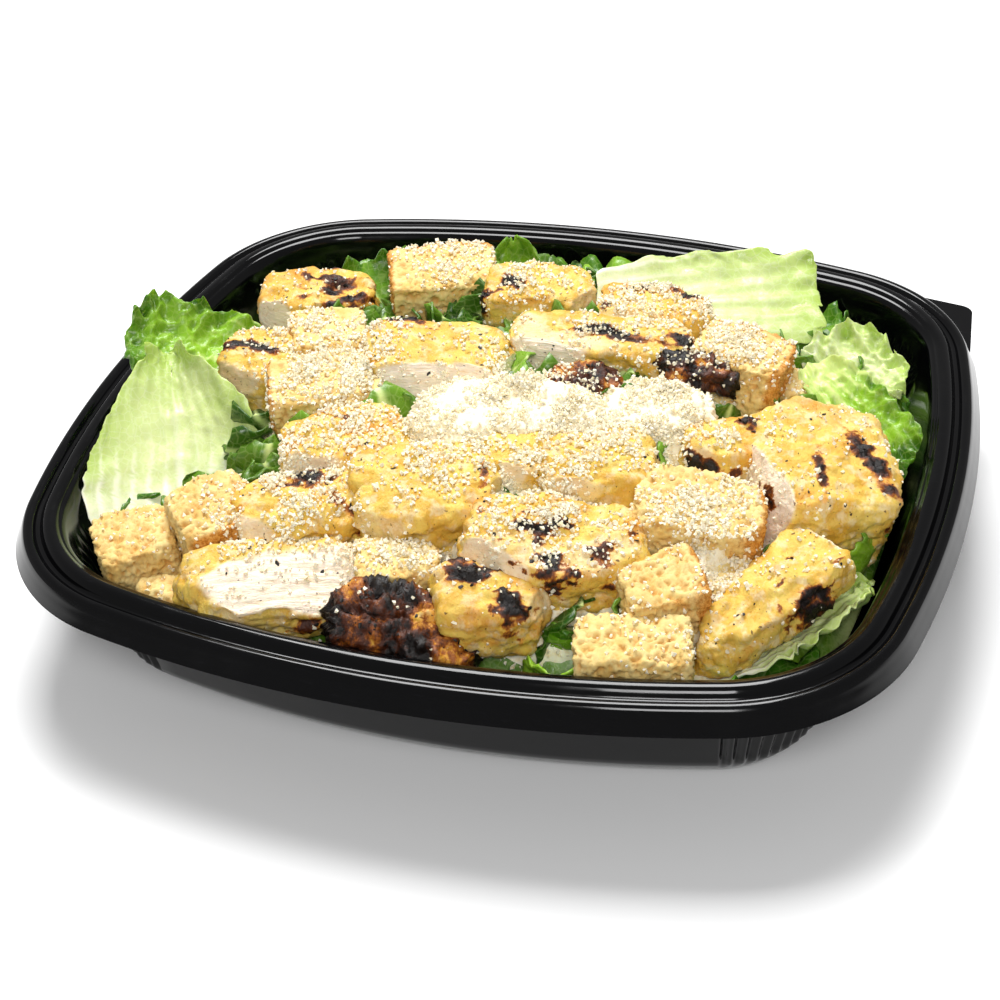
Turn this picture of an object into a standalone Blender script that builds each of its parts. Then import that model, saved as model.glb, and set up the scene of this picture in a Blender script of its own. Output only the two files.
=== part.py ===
"""Chicken caesar salad in its black deli bowl.

Metres, +Z up. The origin is the middle of the bowl's flat foot. +X runs along the bowl's long side,
and the front, with the most chicken, faces -Y. Sizes in the tables are millimetres.
"""

import math
from dataclasses import dataclass

import bmesh
import bpy
import numpy as np
from mathutils import Euler, Vector, noise

MM = 0.001

# The bowl, seen from above: four bowed sides that run into round corners
HALF_LENGTH = 115.0
HALF_WIDTH = 106.0
SIDE_BOW_X = 310.0
SIDE_BOW_Y = 300.0
CORNER_RADIUS = 48.0
BOWL_HEIGHT = 41.0
SHEET = 0.8
LIP_INSET = 12.4
LIP_HEIGHT = 36.6
FOOT_INSET = 23.0
FOOT_ROUND = 3.5
SIDE_STEPS = 3
FLUTES_PER_CORNER = 7
FLUTE_DEPTH = 0.9
FLUTE_BOTTOM = 3.5
FLUTE_TOP = 33.0

# The pull tab on the corner at +X +Y
TAB_THICKNESS = 0.9
TAB_HEIGHT = 35.6
TAB_ROOT_INSET = 1.2
TAB_START = math.radians(4.0)
TAB_END = math.radians(84.0)
TAB_TIP = np.array([40.0, 35.5])
TAB_TIP_RADIUS = 4.0
TAB_STEPS = 10

# What lies in the bowl
GAP = 0.3
FLOOR_TOP = SHEET + GAP
HEAP_EDGE = 25.0
HEAP_CROWN = 51.0
HEAP_REACH = (99.0, 92.0)
HEAP_ROUNDNESS = 2.6
HEAP_RINGS = 11
HEAP_ROUNDS = 6
HEAP_BUMP = 2.5
HEAP_BUMP_WIDTH = 11.0
BACK_SEED = 5
BACK_COUNT = 8
BACK_SPAN = 62.0
BACK_ROW = 61.0
BACK_STAGGER = 12.0
BACK_LENGTH = 25.0
BACK_TILT = 3.0
BACK_JITTER = 2.0
BACK_TURN = 0.6
BACK_WIDTHS = (17.0, 23.0)
SAMPLE_STEPS = 6
SAMPLE_MARGIN = 0.2
LEAF_THICKNESS = 0.9
LEAF_BASE_SHARE = 0.6
LEAF_RAGGED = 0.12
LEAF_RAGGED_SCALE = 2.5
LEAF_DIMPLE = 0.6
LEAF_DIMPLE_SCALE = 2.0
LEAF_GRID = (8, 5)
SPRIG_GRID = (5, 3)
CHUNK_CUTS = 3
SMALL_CHUNK_CUTS = 2
SMALL_CHUNK = 24.5
RELIEF = 0.06
BROAD_BUMP = 1.6
BROAD_BUMP_SCALE = 1.6
FINE_BUMP_SCALE = 4.0
KNIFE_CUTS = 4
KNIFE_DEPTH = 0.16
RIM_CLEARANCE = 1.2
HEAP_LEAST = 2.0

# How the pieces are fitted between one another
FIT_ROUNDS = 12
FIT_ENOUGH = 0.01
FIT_REACH = 0.75
FIT_FACING = 0.25
FIT_KEEP = 0.2
HALVINGS = 14
DIRECTION_COUNT = 400


@dataclass(frozen=True)
class Chunk:
    """One piece of chicken, crouton or grated cheese: its middle, its size and how it is turned."""

    name: str
    kind: str
    centre: tuple
    size: tuple
    turn: tuple = (0.0, 0.0, 0.0)
    taper: float = 0.0
    firm: float = 0.5


@dataclass(frozen=True)
class Leaf:
    """One lettuce leaf, from its base to its tip, with the way its width lies, its curl and its waves."""

    name: str
    kind: str
    base: tuple
    tip: tuple
    across: tuple
    width: float
    curl: float = 0.0
    wave: float = 1.5
    waves: float = 2.0
    tip_share: float = 0.5
    own_node: bool = True

    @property
    def centre(self):
        """The middle of the sheet."""
        return tuple((a + b) / 2 for a, b in zip(self.base, self.tip))

    @property
    def size(self):
        """The sheet's length and width."""
        return (math.dist(self.base, self.tip), self.width)


CHUNKS = (
    Chunk("chicken_01", "chicken", (-64, 33, 48), (32, 17, 12), (0, 0, 14), 0.1),
    Chunk("chicken_02", "chicken", (-66, -6, 48), (21, 21, 19), (8, 0, 8), 0.0, 0.7),
    Chunk("chicken_03", "chicken", (-18, -3, 56), (36, 22, 19), (10, 0, 16), 0.12, 0.8),
    Chunk("chicken_04", "chicken", (-3, 36, 55), (28, 19, 16), (5, 6, 10), 0.1, 0.6),
    Chunk("chicken_05", "chicken", (20, 14, 57), (47, 16, 13), (6, 3, 8), 0.15, 0.6),
    Chunk("chicken_06", "chicken", (28, 35, 54), (30, 16, 12), (0, 4, 6), 0.1),
    Chunk("chicken_07", "char", (46, 9, 57), (20, 11, 6), (0, 8, 4), 0.2, 0.6),
    Chunk("chicken_08", "char", (21, -6, 60), (16, 10, 5), (6, 8, 6), 0.2, 0.6),
    Chunk("chicken_09", "chicken", (58, -16, 51), (22, 16, 12), (8, 6, 26), 0.15),
    Chunk("chicken_10", "chicken", (79, -15, 43), (37, 40, 25), (6, 8, 20), 0.1, 0.9),
    Chunk("chicken_11", "chicken", (75, -56, 38), (45, 17, 15), (0, -12, 54), -0.25, 0.9),
    Chunk("chicken_12", "chicken", (-6, -50, 50), (35, 25, 19), (14, -6, 26), 0.1, 0.9),
    Chunk("chicken_13", "chicken", (-31, -38, 52), (30, 19, 14), (10, 0, 30), 0.1, 0.6),
    Chunk("chicken_14", "chicken", (-35, -59, 46), (35, 19, 15), (10, -4, 26), 0.12, 0.6),
    Chunk("chicken_15", "chicken", (-34, -77, 39), (47, 20, 16), (12, -3, 20), 0.15, 0.9),
    Chunk("chicken_16", "char", (-1, -84, 38), (35, 18, 12), (28, 6, 8), 0.15, 0.9),
    Chunk("chicken_17", "chicken", (16, -75, 42), (27, 19, 16), (12, 6, 14), 0.1, 0.6),
    Chunk("chicken_18", "chicken", (28, -60, 46), (43, 24, 18), (12, 6, 14), 0.12, 0.9),
    Chunk("chicken_19", "chicken", (31, -34, 52), (27, 21, 17), (8, 4, 20), 0.1, 0.8),
    Chunk("chicken_20", "chicken", (12, -36, 53), (19, 17, 13), (8, 0, 20), 0.1, 0.4),
    Chunk("crouton_01", "crouton", (-74, -69, 36), (19, 19, 17), (6, -6, 36), 0.0, 0.8),
    Chunk("crouton_02", "crouton", (-55, -62, 43), (22, 20, 19), (10, -6, 42), 0.0, 0.8),
    Chunk("crouton_03", "crouton", (-63, -82, 31), (16, 15, 12), (6, 0, 20), 0.0, 0.3),
    Chunk("crouton_04", "crouton", (-31, 40, 54), (29, 20, 17), (6, 0, 22), 0.1, 0.5),
    Chunk("crouton_05", "crouton", (-51, 6, 53), (20, 18, 14), (8, 0, 22), 0.05),
    Chunk("crouton_06", "crouton", (-41, -17, 54), (34, 19, 15), (10, 0, 24), 0.05, 0.6),
    Chunk("crouton_07", "crouton", (54, 17, 52), (25, 21, 18), (0, 6, -8), 0.0, 0.7),
    Chunk("crouton_08", "crouton", (68, 19, 46), (15, 15, 14), (0, 0, 20), 0.0, 0.3),
    Chunk("crouton_09", "crouton", (56, -41, 47), (32, 21, 16), (10, 8, 8), 0.05, 0.7),
    Chunk("crouton_10", "crouton", (52, -62, 42), (21, 21, 18), (10, 0, 32), 0.0, 0.7),
    Chunk("crouton_11", "crouton", (50, -81, 37), (28, 18, 15), (14, 0, 14), 0.05, 0.8),
    Chunk("crouton_12", "crouton", (65, -51, 38), (18, 16, 13), (6, 0, 10), 0.0, 0.3),
    Chunk("crouton_13", "crouton", (-9, -70, 42), (24, 19, 15), (8, 0, 20), 0.05, 0.4),
    Chunk("cheese_heap_1", "cheese", (-5, -24, 56), (25, 22, 13), (8, 0, 18), 0.0, 0.3),
    Chunk("cheese_heap_2", "cheese", (14, -20, 57), (27, 25, 13), (6, 0, 18), 0.0, 0.3),
    Chunk("cheese_heap_3", "cheese", (40, -12, 55), (30, 21, 13), (6, 4, 16), 0.0, 0.3),
)

LEAVES = (
    Leaf("leaf_pale_left", "pale", (-70, -52, 27), (-90, -8, 55), (35, 21, 8), 44, 0.25, 1.2, 2.5, 0.35),
    Leaf("leaf_bright_left", "bright", (-70, 8, 40), (-104, -6, 53), (2, 10, 1), 30, 0.4, 2.2, 3.0, 0.7),
    Leaf("leaf_pleated_back", "pale", (12, 38, 54), (68, 62, 49), (-15, 22, 9), 30, 0.25, 1.5, 4.0, 1.0),
    Leaf("leaf_rib_right", "bright", (70, 27, 49), (99, 5, 37), (5, 8, 3), 20, 0.3, 1.5, 3.0, 0.7),
    Leaf("leaf_frill_right", "pale", (74, 30, 40), (90, 44, 47), (-6, 7, 2), 28, 0.3, 2.0, 3.0, 0.5),
    Leaf("leaf_clear_front", "pale", (62, -76, 25), (98, -34, 33), (6, -5, 3), 24, 0.4, 1.4, 2.5, 0.7),
)

SPRIGS = (
    Leaf("sprig_back_1", "bright", (-46, 36, 34), (-58, 52, 52), (10, 6, 0), 20, 0.4, 2.0, 2.5, 0.5, False),
    Leaf("sprig_back_2", "pale", (-16, 60, 30), (-19, 66, 56), (10, 3, 0), 15, 0.3, 1.0, 1.5, 0.2, False),
    Leaf("sprig_back_3", "bright", (6, 56, 32), (26, 50, 50), (3, 10, 2), 20, 0.3, 1.8, 2.5, 0.6, False),
    Leaf("sprig_side_1", "dark", (-60, -46, 32), (-42, -30, 44), (-6, 8, 5), 22, 0.3, 2.0, 2.5, 0.6, False),
    Leaf("sprig_side_2", "dark", (-80, -50, 18), (-88, -52, 34), (3, 10, 0), 22, 0.3, 1.6, 2.5, 0.6, False),
    Leaf("sprig_front_1", "dark", (62, -78, 22), (90, -62, 29), (4, -7, 4), 16, 0.3, 1.6, 3.0, 0.6, False),
    Leaf("sprig_front_2", "pale", (32, -78, 24), (35, -88, 36), (10, 2, 0), 15, 0.4, 1.0, 2.0, 0.6, False),
    Leaf("sprig_right_1", "bright", (88, 30, 24), (95, 36, 38), (-5, 8, 0), 20, 0.3, 1.8, 2.5, 0.5, False),
    Leaf("sprig_right_2", "bright", (70, 38, 36), (82, 32, 44), (6, 8, 2), 18, 0.3, 1.8, 2.5, 0.5, False),
    Leaf("sprig_right_3", "pale", (90, -34, 24), (98, -22, 38), (3, 9, 0), 24, 0.3, 1.8, 2.5, 0.6, False),
    Leaf("sprig_front_3", "bright", (36, -72, 28), (40, -77, 40), (8, 4, 1), 18, 0.4, 1.6, 2.5, 0.6, False),
    Leaf("sprig_front_4", "bright", (66, -76, 22), (69, -84, 34), (8, 4, 0), 14, 0.4, 1.6, 2.5, 0.6, False),
)

COLOURS = {
    "bowl": (0.012, 0.012, 0.014),
    "chicken": (0.80, 0.55, 0.20),
    "char": (0.10, 0.03, 0.015),
    "crouton": (0.80, 0.56, 0.24),
    "cheese": (0.90, 0.82, 0.58),
    "pale": (0.60, 0.70, 0.32),
    "bright": (0.28, 0.50, 0.06),
    "dark": (0.08, 0.22, 0.03),
}
ROUGHNESS = {"bowl": 0.22, "pale": 0.4, "bright": 0.35, "dark": 0.35, "char": 0.5, "chicken": 0.5}
SQUARENESS = {"chicken": 3.4, "char": 3.0, "crouton": 5.5, "cheese": 2.6}
RELIEF_SCALE = {"chicken": 1.0, "char": 1.8, "crouton": 0.8, "cheese": 1.6}


def corner_centre():
    """The middle of the corner arc that touches both bowed sides, in the +X +Y quarter."""
    left = np.array([HALF_LENGTH - SIDE_BOW_X, 0.0])
    low = np.array([0.0, HALF_WIDTH - SIDE_BOW_Y])
    reach_left = SIDE_BOW_X - CORNER_RADIUS
    reach_low = SIDE_BOW_Y - CORNER_RADIUS
    between = low - left
    distance = np.linalg.norm(between)
    along = (reach_left ** 2 - reach_low ** 2 + distance ** 2) / (2 * distance)
    across = math.sqrt(reach_left ** 2 - along ** 2)
    foot = left + between * along / distance
    side = np.array([-between[1], between[0]]) / distance
    return max((foot + side * across, foot - side * across), key=lambda point: point.sum())


CORNER = corner_centre()
ANGLE_START = math.atan2(CORNER[1], CORNER[0] - (HALF_LENGTH - SIDE_BOW_X))
ANGLE_END = math.atan2(CORNER[1] - (HALF_WIDTH - SIDE_BOW_Y), CORNER[0])


def edge_depth(x, y):
    """How far a point is inside the bowl's outer edge, seen from above."""
    x, y = abs(x), abs(y)
    angle = math.atan2(y - CORNER[1], x - CORNER[0])
    if ANGLE_START <= angle <= ANGLE_END:
        return CORNER_RADIUS - math.hypot(x - CORNER[0], y - CORNER[1])
    to_side_x = SIDE_BOW_X - math.hypot(x - (HALF_LENGTH - SIDE_BOW_X), y)
    to_side_y = SIDE_BOW_Y - math.hypot(x, y - (HALF_WIDTH - SIDE_BOW_Y))
    return min(to_side_x, to_side_y)


def outline_quarter():
    """Points on the outer edge from +X to +Y: position, outward direction and a flute weight."""
    points = []
    for step in range(SIDE_STEPS):
        angle = ANGLE_START * step / SIDE_STEPS
        out = np.array([math.cos(angle), math.sin(angle)])
        points.append((np.array([HALF_LENGTH - SIDE_BOW_X, 0.0]) + SIDE_BOW_X * out, out, 0.0))
    count = 2 * FLUTES_PER_CORNER
    for step in range(count + 1):
        angle = ANGLE_START + (ANGLE_END - ANGLE_START) * step / count
        out = np.array([math.cos(angle), math.sin(angle)])
        points.append((CORNER + CORNER_RADIUS * out, out, float(step % 2)))
    for step in range(1, SIDE_STEPS):
        angle = ANGLE_END + (math.pi / 2 - ANGLE_END) * step / SIDE_STEPS
        out = np.array([math.cos(angle), math.sin(angle)])
        points.append((np.array([0.0, HALF_WIDTH - SIDE_BOW_Y]) + SIDE_BOW_Y * out, out, 0.0))
    return points


def outline():
    """The whole outer edge, anticlockwise, as positions, outward directions and flute weights."""
    quarter = outline_quarter()
    top = (np.array([0.0, HALF_WIDTH]), np.array([0.0, 1.0]), 0.0)
    half = quarter + [top]
    half += [(p * (-1, 1), o * (-1, 1), f) for p, o, f in quarter[::-1]]
    return half + [(-p, -o, f) for p, o, f in half[1:-1]]


def wall_inset(z):
    """How far the inner wall stands inside the outer edge at a height."""
    share = min(max(z / LIP_HEIGHT, 0.0), 1.0)
    return FOOT_INSET + (LIP_INSET - FOOT_INSET) * share


def bowl_profile():
    """The bowl's section, from the skirt's edge over the stepped rim and down to the foot."""
    rim = [
        (0.0, BOWL_HEIGHT - 6.6),
        (1.4, BOWL_HEIGHT - 3.4),
        (3.4, BOWL_HEIGHT - 0.9),
        (5.0, BOWL_HEIGHT - 2.2),
        (6.8, BOWL_HEIGHT - 2.2),
        (8.2, BOWL_HEIGHT),
        (10.4, BOWL_HEIGHT - 0.2),
        (LIP_INSET, LIP_HEIGHT),
    ]
    wall = [(wall_inset(z), z) for z in (FLUTE_TOP, FLUTE_BOTTOM + FOOT_ROUND)]
    foot = [
        (FOOT_INSET + 1.2, FLUTE_BOTTOM),
        (FOOT_INSET + 2.2 + FOOT_ROUND * 0.4, 0.9),
        (FOOT_INSET + 3.2 + FOOT_ROUND, 0.0),
    ]
    return rim + wall + foot


def tab_outline():
    """The pull tab from above: tangents off the corner arc that meet in a rounded tip, and an inner edge."""
    inner = CORNER_RADIUS - TAB_ROOT_INSET
    points = []
    for step in range(TAB_STEPS + 1):
        angle = TAB_START + (TAB_END - TAB_START) * step / TAB_STEPS
        points.append(CORNER + inner * np.array([math.cos(angle), math.sin(angle)]))
    tip = CORNER + TAB_TIP
    for step in range(TAB_STEPS + 1):
        angle = TAB_END + (TAB_START - TAB_END) * step / TAB_STEPS
        points.append(tip + TAB_TIP_RADIUS * np.array([math.cos(angle), math.sin(angle)]))
    return points


def build_tab(collection):
    """The tab's plate as a closed solid that is joined to the skirt."""
    curve = bpy.data.curves.new("tab", "CURVE")
    curve.dimensions = "2D"
    curve.fill_mode = "BOTH"
    curve.extrude = TAB_THICKNESS / 2 * MM
    points = tab_outline()
    spline = curve.splines.new("POLY")
    spline.points.add(len(points) - 1)
    for target, (x, y) in zip(spline.points, points):
        target.co = (x * MM, y * MM, 0.0, 1.0)
    spline.use_cyclic_u = True
    flat = bpy.data.objects.new("tab_outline", curve)
    collection.objects.link(flat)
    flat.location.z = TAB_HEIGHT * MM
    bpy.context.view_layer.update()
    depsgraph = bpy.context.evaluated_depsgraph_get()
    mesh = bpy.data.meshes.new_from_object(flat.evaluated_get(depsgraph))
    builder = bmesh.new()
    builder.from_mesh(mesh)
    bmesh.ops.remove_doubles(builder, verts=builder.verts, dist=1e-6)
    bmesh.ops.recalc_face_normals(builder, faces=builder.faces)
    builder.to_mesh(mesh)
    builder.free()
    tab = bpy.data.objects.new("tab", mesh)
    tab.matrix_world = flat.matrix_world.copy()
    collection.objects.link(tab)
    bpy.data.objects.remove(flat)
    tab.hide_render = True
    tab.display_type = "WIRE"
    return tab


def new_mesh_object(name, mesh_builder, collection):
    """An object whose mesh is filled by a bmesh, in the given collection."""
    mesh = bpy.data.meshes.new(name)
    mesh_builder.to_mesh(mesh)
    mesh_builder.free()
    thing = bpy.data.objects.new(name, mesh)
    collection.objects.link(thing)
    return thing


def material_for(kind):
    """The plain finish of one kind of piece."""
    finish = bpy.data.materials.get(kind) or bpy.data.materials.new(kind)
    finish.use_nodes = True
    shader = finish.node_tree.nodes["Principled BSDF"]
    shader.inputs["Base Color"].default_value = (*COLOURS[kind], 1.0)
    shader.inputs["Roughness"].default_value = ROUGHNESS.get(kind, 0.75)
    finish.diffuse_color = (*COLOURS[kind], 1.0)
    return finish


def build_bowl(collection, tab):
    """The thin bowl: an open sheet lofted along the outline, thickened inwards from its outer face."""
    edge = outline()
    builder = bmesh.new()
    rings = []
    for inset, z in bowl_profile():
        fluted = FLUTE_DEPTH if FLUTE_BOTTOM < z < FLUTE_TOP + 1 and inset >= LIP_INSET else 0.0
        ring = []
        for position, out, flute in edge:
            x, y = position - out * (inset + fluted * flute)
            ring.append(builder.verts.new((x * MM, y * MM, z * MM)))
        rings.append(ring)
    for upper, lower in zip(rings, rings[1:]):
        for i in range(len(edge)):
            j = (i + 1) % len(edge)
            builder.faces.new((upper[i], upper[j], lower[j], lower[i]))
    builder.faces.new(rings[-1])
    bmesh.ops.recalc_face_normals(builder, faces=builder.faces)
    if builder.faces[0].normal.z < 0:
        bmesh.ops.reverse_faces(builder, faces=builder.faces)
    bowl = new_mesh_object("bowl", builder, collection)
    shell = bowl.modifiers.new("sheet", "SOLIDIFY")
    shell.thickness = SHEET * MM
    shell.offset = 1.0
    shell.use_even_offset = True
    joint = bowl.modifiers.new("tab", "BOOLEAN")
    joint.operation = "UNION"
    joint.object = tab
    joint.solver = "MANIFOLD"
    bowl.data.materials.append(material_for("bowl"))
    return bowl


def superellipsoid_radius(direction, half, power):
    """The distance from the middle to a box with rounded edges, along a direction."""
    total = sum((abs(d) / h) ** power for d, h in zip(direction, half))
    return total ** (-1.0 / power)


def chunk_points(chunk, seed):
    """A subdivided cube pushed out to the chunk's rounded, uneven shape: its points and its faces."""
    builder = bmesh.new()
    bmesh.ops.create_cube(builder, size=2.0)
    cuts = CHUNK_CUTS if max(chunk.size) > SMALL_CHUNK else SMALL_CHUNK_CUTS
    bmesh.ops.subdivide_edges(builder, edges=builder.edges, cuts=cuts, use_grid_fill=True)
    half = [s / 2 for s in chunk.size]
    turn = Euler([math.radians(angle) for angle in chunk.turn]).to_matrix()
    centre = Vector(chunk.centre)
    offset = Vector((seed * 3.1, seed * 1.7, seed * 2.3))
    for vert in builder.verts:
        spread = Vector([math.tan(c * math.pi / 4) for c in vert.co])
        flat = Vector([s * h for s, h in zip(spread, half)])
        direction = flat.normalized()
        radius = superellipsoid_radius(direction, half, SQUARENESS[chunk.kind])
        bump = noise.noise(direction * BROAD_BUMP_SCALE + offset) * BROAD_BUMP
        bump += noise.noise(direction * FINE_BUMP_SCALE - offset)
        point = direction * radius * (1.0 + RELIEF * RELIEF_SCALE[chunk.kind] * bump)
        narrowing = 1.0 - chunk.taper * point.x / half[0]
        point.y *= narrowing
        point.z *= 0.5 + 0.5 * narrowing
        vert.co = turn @ point + centre
    bmesh.ops.triangulate(builder, faces=builder.faces)
    points = np.array([vert.co for vert in builder.verts])
    faces = [[vert.index for vert in face.verts] for face in builder.faces]
    builder.free()
    return points, faces


def leaf_points(leaf, seed):
    """A triangulated sheet: leaf-shaped outline, one curl across it and waves along its edges."""
    columns, rows = LEAF_GRID if leaf.own_node else SPRIG_GRID
    builder = bmesh.new()
    bmesh.ops.create_grid(builder, x_segments=columns, y_segments=rows, size=1.0)
    bmesh.ops.triangulate(builder, faces=builder.faces)
    half_length, half_width = leaf.size[0] / 2, leaf.size[1] / 2
    along = (Vector(leaf.tip) - Vector(leaf.base)).normalized()
    across = Vector(leaf.across)
    across = (across - along * across.dot(along)).normalized()
    upward = along.cross(across)
    if upward.z < 0:
        upward = -upward
    centre = Vector(leaf.centre)
    points = []
    for vert in builder.verts:
        u, v = vert.co.x, vert.co.y
        end_share = leaf.tip_share if u > 0 else LEAF_BASE_SHARE
        rounded = 1.0 - abs(u) ** 3 * (1.0 - end_share)
        place = Vector((u, v, seed))
        ragged = 1.0 + LEAF_RAGGED * noise.noise(place * LEAF_RAGGED_SCALE)
        ripple = math.sin(u * leaf.waves * math.pi + seed) * v * v
        ripple += LEAF_DIMPLE * noise.noise(place * LEAF_DIMPLE_SCALE)
        rise = leaf.curl * half_width * v * v + leaf.wave * ripple
        point = centre + along * (u * half_length * ragged)
        point += across * (v * half_width * rounded * ragged) + upward * rise
        points.append(point)
    faces = [[vert.index for vert in face.verts] for face in builder.faces]
    builder.free()
    return np.array(points), faces


def back_leaves():
    """Lettuce leaves behind the toppings, half sunk in the heap's back slope."""
    draw = np.random.default_rng(BACK_SEED)
    leaves = []
    for index, x in enumerate(np.linspace(-BACK_SPAN, BACK_SPAN, BACK_COUNT)):
        y = BACK_ROW + BACK_STAGGER * (index % 2) + draw.uniform(-BACK_JITTER, BACK_JITTER)
        angle = draw.uniform(-BACK_TURN, BACK_TURN)
        along = BACK_LENGTH / 2 * np.array([math.cos(angle), math.sin(angle)])
        height = heap_height(x, y)
        base = (x - along[0], y - along[1], height - BACK_TILT)
        tip = (x + along[0], y + along[1], height + BACK_TILT)
        width = draw.uniform(*BACK_WIDTHS)
        kind = ("pale", "bright")[index % 2]
        across = (-along[1], along[0], -BACK_TILT)
        leaves.append(Leaf(f"back_{index}", kind, base, tip, across, width, 0.4, 2.2, 3.0, 0.6, False))
    return tuple(leaves)


def sphere_directions(count):
    """Directions spread evenly over a sphere."""
    turns = np.arange(count) + 0.5
    polar = np.arccos(1 - 2 * turns / count)
    around = math.pi * (1 + math.sqrt(5)) * turns
    return np.stack([np.cos(around) * np.sin(polar), np.sin(around) * np.sin(polar), np.cos(polar)], 1)


DIRECTIONS = sphere_directions(DIRECTION_COUNT)


class Body:
    """A chunk or a leaf while it is fitted between its neighbours."""

    def __init__(self, source, seed):
        self.source = source
        self.is_leaf = isinstance(source, Leaf)
        maker = leaf_points if self.is_leaf else chunk_points
        self.points, self.faces = maker(source, seed)
        self.centre = np.array(source.centre, float)
        self.skin = LEAF_THICKNESS / 2 + 0.15 if self.is_leaf else 0.0
        self.share = 0.5 if self.is_leaf else source.firm
        if source.kind in ("chicken", "char"):
            self.slice_flat(seed)

    def slice_flat(self, seed):
        """Flat faces, as a knife leaves them: planes that shave the body from a few sides."""
        draw = np.random.default_rng(seed)
        for _ in range(KNIFE_CUTS):
            normal = draw.normal(size=3)
            normal /= np.linalg.norm(normal)
            reach = self.reach(normal[None])[0]
            self.keep_behind(normal, reach * (1.0 - KNIFE_DEPTH * draw.random()))

    def reach(self, directions):
        """How far the body goes from its centre along each direction."""
        return ((self.points - self.centre) @ directions.T).max(0) + self.skin

    def keep_behind(self, normal, limit):
        """Keep every point on the near side of a plane that faces away from the centre."""
        limit -= self.skin
        along = (self.points - self.centre) @ normal
        beyond = along > limit
        if self.is_leaf:
            self.points[beyond] -= np.outer(along[beyond] - limit, normal)
        else:
            scale = limit / along[beyond]
            self.points[beyond] = self.centre + (self.points[beyond] - self.centre) * scale[:, None]

    def keep_inside_bowl(self):
        """Keep every point clear of the inner wall and of the floor."""
        for index, point in enumerate(self.points):
            if clear_of_wall(point, self.skin):
                continue
            low, high = 0.0, 1.0
            for _ in range(HALVINGS):
                middle = (low + high) / 2
                inside = clear_of_wall(self.centre + (point - self.centre) * middle, self.skin)
                low, high = (middle, high) if inside else (low, middle)
            self.points[index] = self.centre + (point - self.centre) * low


def clear_of_wall(point, skin):
    """Whether a point keeps its distance to the inner wall and to the floor."""
    if point[2] < FLOOR_TOP + skin + HEAP_LEAST:
        return False
    if skin and point[2] > BOWL_HEIGHT + RIM_CLEARANCE + skin:
        return True
    margin = GAP + skin + SHEET + FLUTE_DEPTH
    return edge_depth(point[0], point[1]) >= wall_inset(point[2]) + margin


def separate(first, second):
    """Fit two bodies on either side of the plane that takes the least off them."""
    between = second.centre - first.centre
    distance = DIRECTIONS @ between
    facing = distance > FIT_FACING * np.linalg.norm(between)
    directions, distance = DIRECTIONS[facing], distance[facing]
    reach_first, reach_second = first.reach(directions), second.reach(-directions)
    overlap = reach_first + reach_second + GAP - distance
    best = int(np.argmin(overlap))
    if overlap[best] <= 0.0:
        return 0.0
    total = first.share + second.share
    give_first = overlap[best] * second.share / total
    limit_first = reach_first[best] - give_first
    least, most = FIT_KEEP * distance[best], (1.0 - FIT_KEEP) * distance[best]
    limit_first = min(max(limit_first, least), most)
    limit_second = distance[best] - GAP - limit_first
    first.keep_behind(directions[best], limit_first)
    second.keep_behind(-directions[best], limit_second)
    return float(overlap[best])


def fit_bodies(bodies):
    """Settle every pair until nothing overlaps; leaves bend round the chunks."""
    for _ in range(FIT_ROUNDS):
        worst = 0.0
        for body in bodies:
            body.keep_inside_bowl()
        for i, first in enumerate(bodies):
            for second in bodies[i + 1:]:
                span = np.linalg.norm(first.centre - second.centre)
                size = (max(first.source.size) + max(second.source.size)) * FIT_REACH
                if span < size:
                    worst = max(worst, separate(first, second))
        if worst < FIT_ENOUGH:
            break


def surface_samples(body):
    """Points over a body's surface, close enough together to fit the heap under it."""
    triangles = body.points[np.array(body.faces)]
    parts = range(SAMPLE_STEPS + 1)
    weights = [(i, j, SAMPLE_STEPS - i - j) for i in parts for j in parts if i + j <= SAMPLE_STEPS]
    samples = [sum(w * triangles[:, k] for k, w in enumerate(row)) / SAMPLE_STEPS for row in weights]
    lowest = np.concatenate(samples)
    lowest[:, 2] -= body.skin
    return lowest


def heap_height(x, y):
    """The free height of the lettuce heap: a flat-topped mound with leaf-sized unevenness."""
    out = (abs(x) / HEAP_REACH[0]) ** HEAP_ROUNDNESS + (abs(y) / HEAP_REACH[1]) ** HEAP_ROUNDNESS
    mound = HEAP_EDGE + (HEAP_CROWN - HEAP_EDGE) * max(1.0 - out, 0.0)
    return mound + HEAP_BUMP * noise.noise(Vector((x, y, 0.0)) / HEAP_BUMP_WIDTH)


def heap_ring_inset(z):
    """How far the heap's outside stands inside the bowl's outer edge at a height."""
    return wall_inset(z) + SHEET + FLUTE_DEPTH + 2 * GAP


def lower_under(points, faces, samples):
    """Lower the heap's triangles until each lies under every sample above it; samples go by x."""
    for a, b, c in faces:
        corners = points[[a, b, c]]
        low, high = corners[:, :2].min(0) - GAP, corners[:, :2].max(0) + GAP
        first, last = np.searchsorted(samples[:, 0], (low[0], high[0]))
        near = samples[first:last]
        near = near[(near[:, 1] > low[1]) & (near[:, 1] < high[1])]
        frame = np.column_stack((corners[1, :2] - corners[0, :2], corners[2, :2] - corners[0, :2]))
        if not len(near) or abs(np.linalg.det(frame)) < 1e-6:
            continue
        shares = np.linalg.solve(frame, (near[:, :2] - corners[0, :2]).T)
        inside = (shares.min(0) > -SAMPLE_MARGIN) & (shares.sum(0) < 1.0 + SAMPLE_MARGIN)
        rise = corners[1:, 2] - corners[0, 2]
        excess = corners[0, 2] + rise @ shares - (near[:, 2] - 3 * GAP)
        if inside.any() and excess[inside].max() > 0:
            points[[a, b, c], 2] -= excess[inside].max()
    points[:, 2] = np.maximum(points[:, 2], FLOOR_TOP + HEAP_LEAST)


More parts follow.
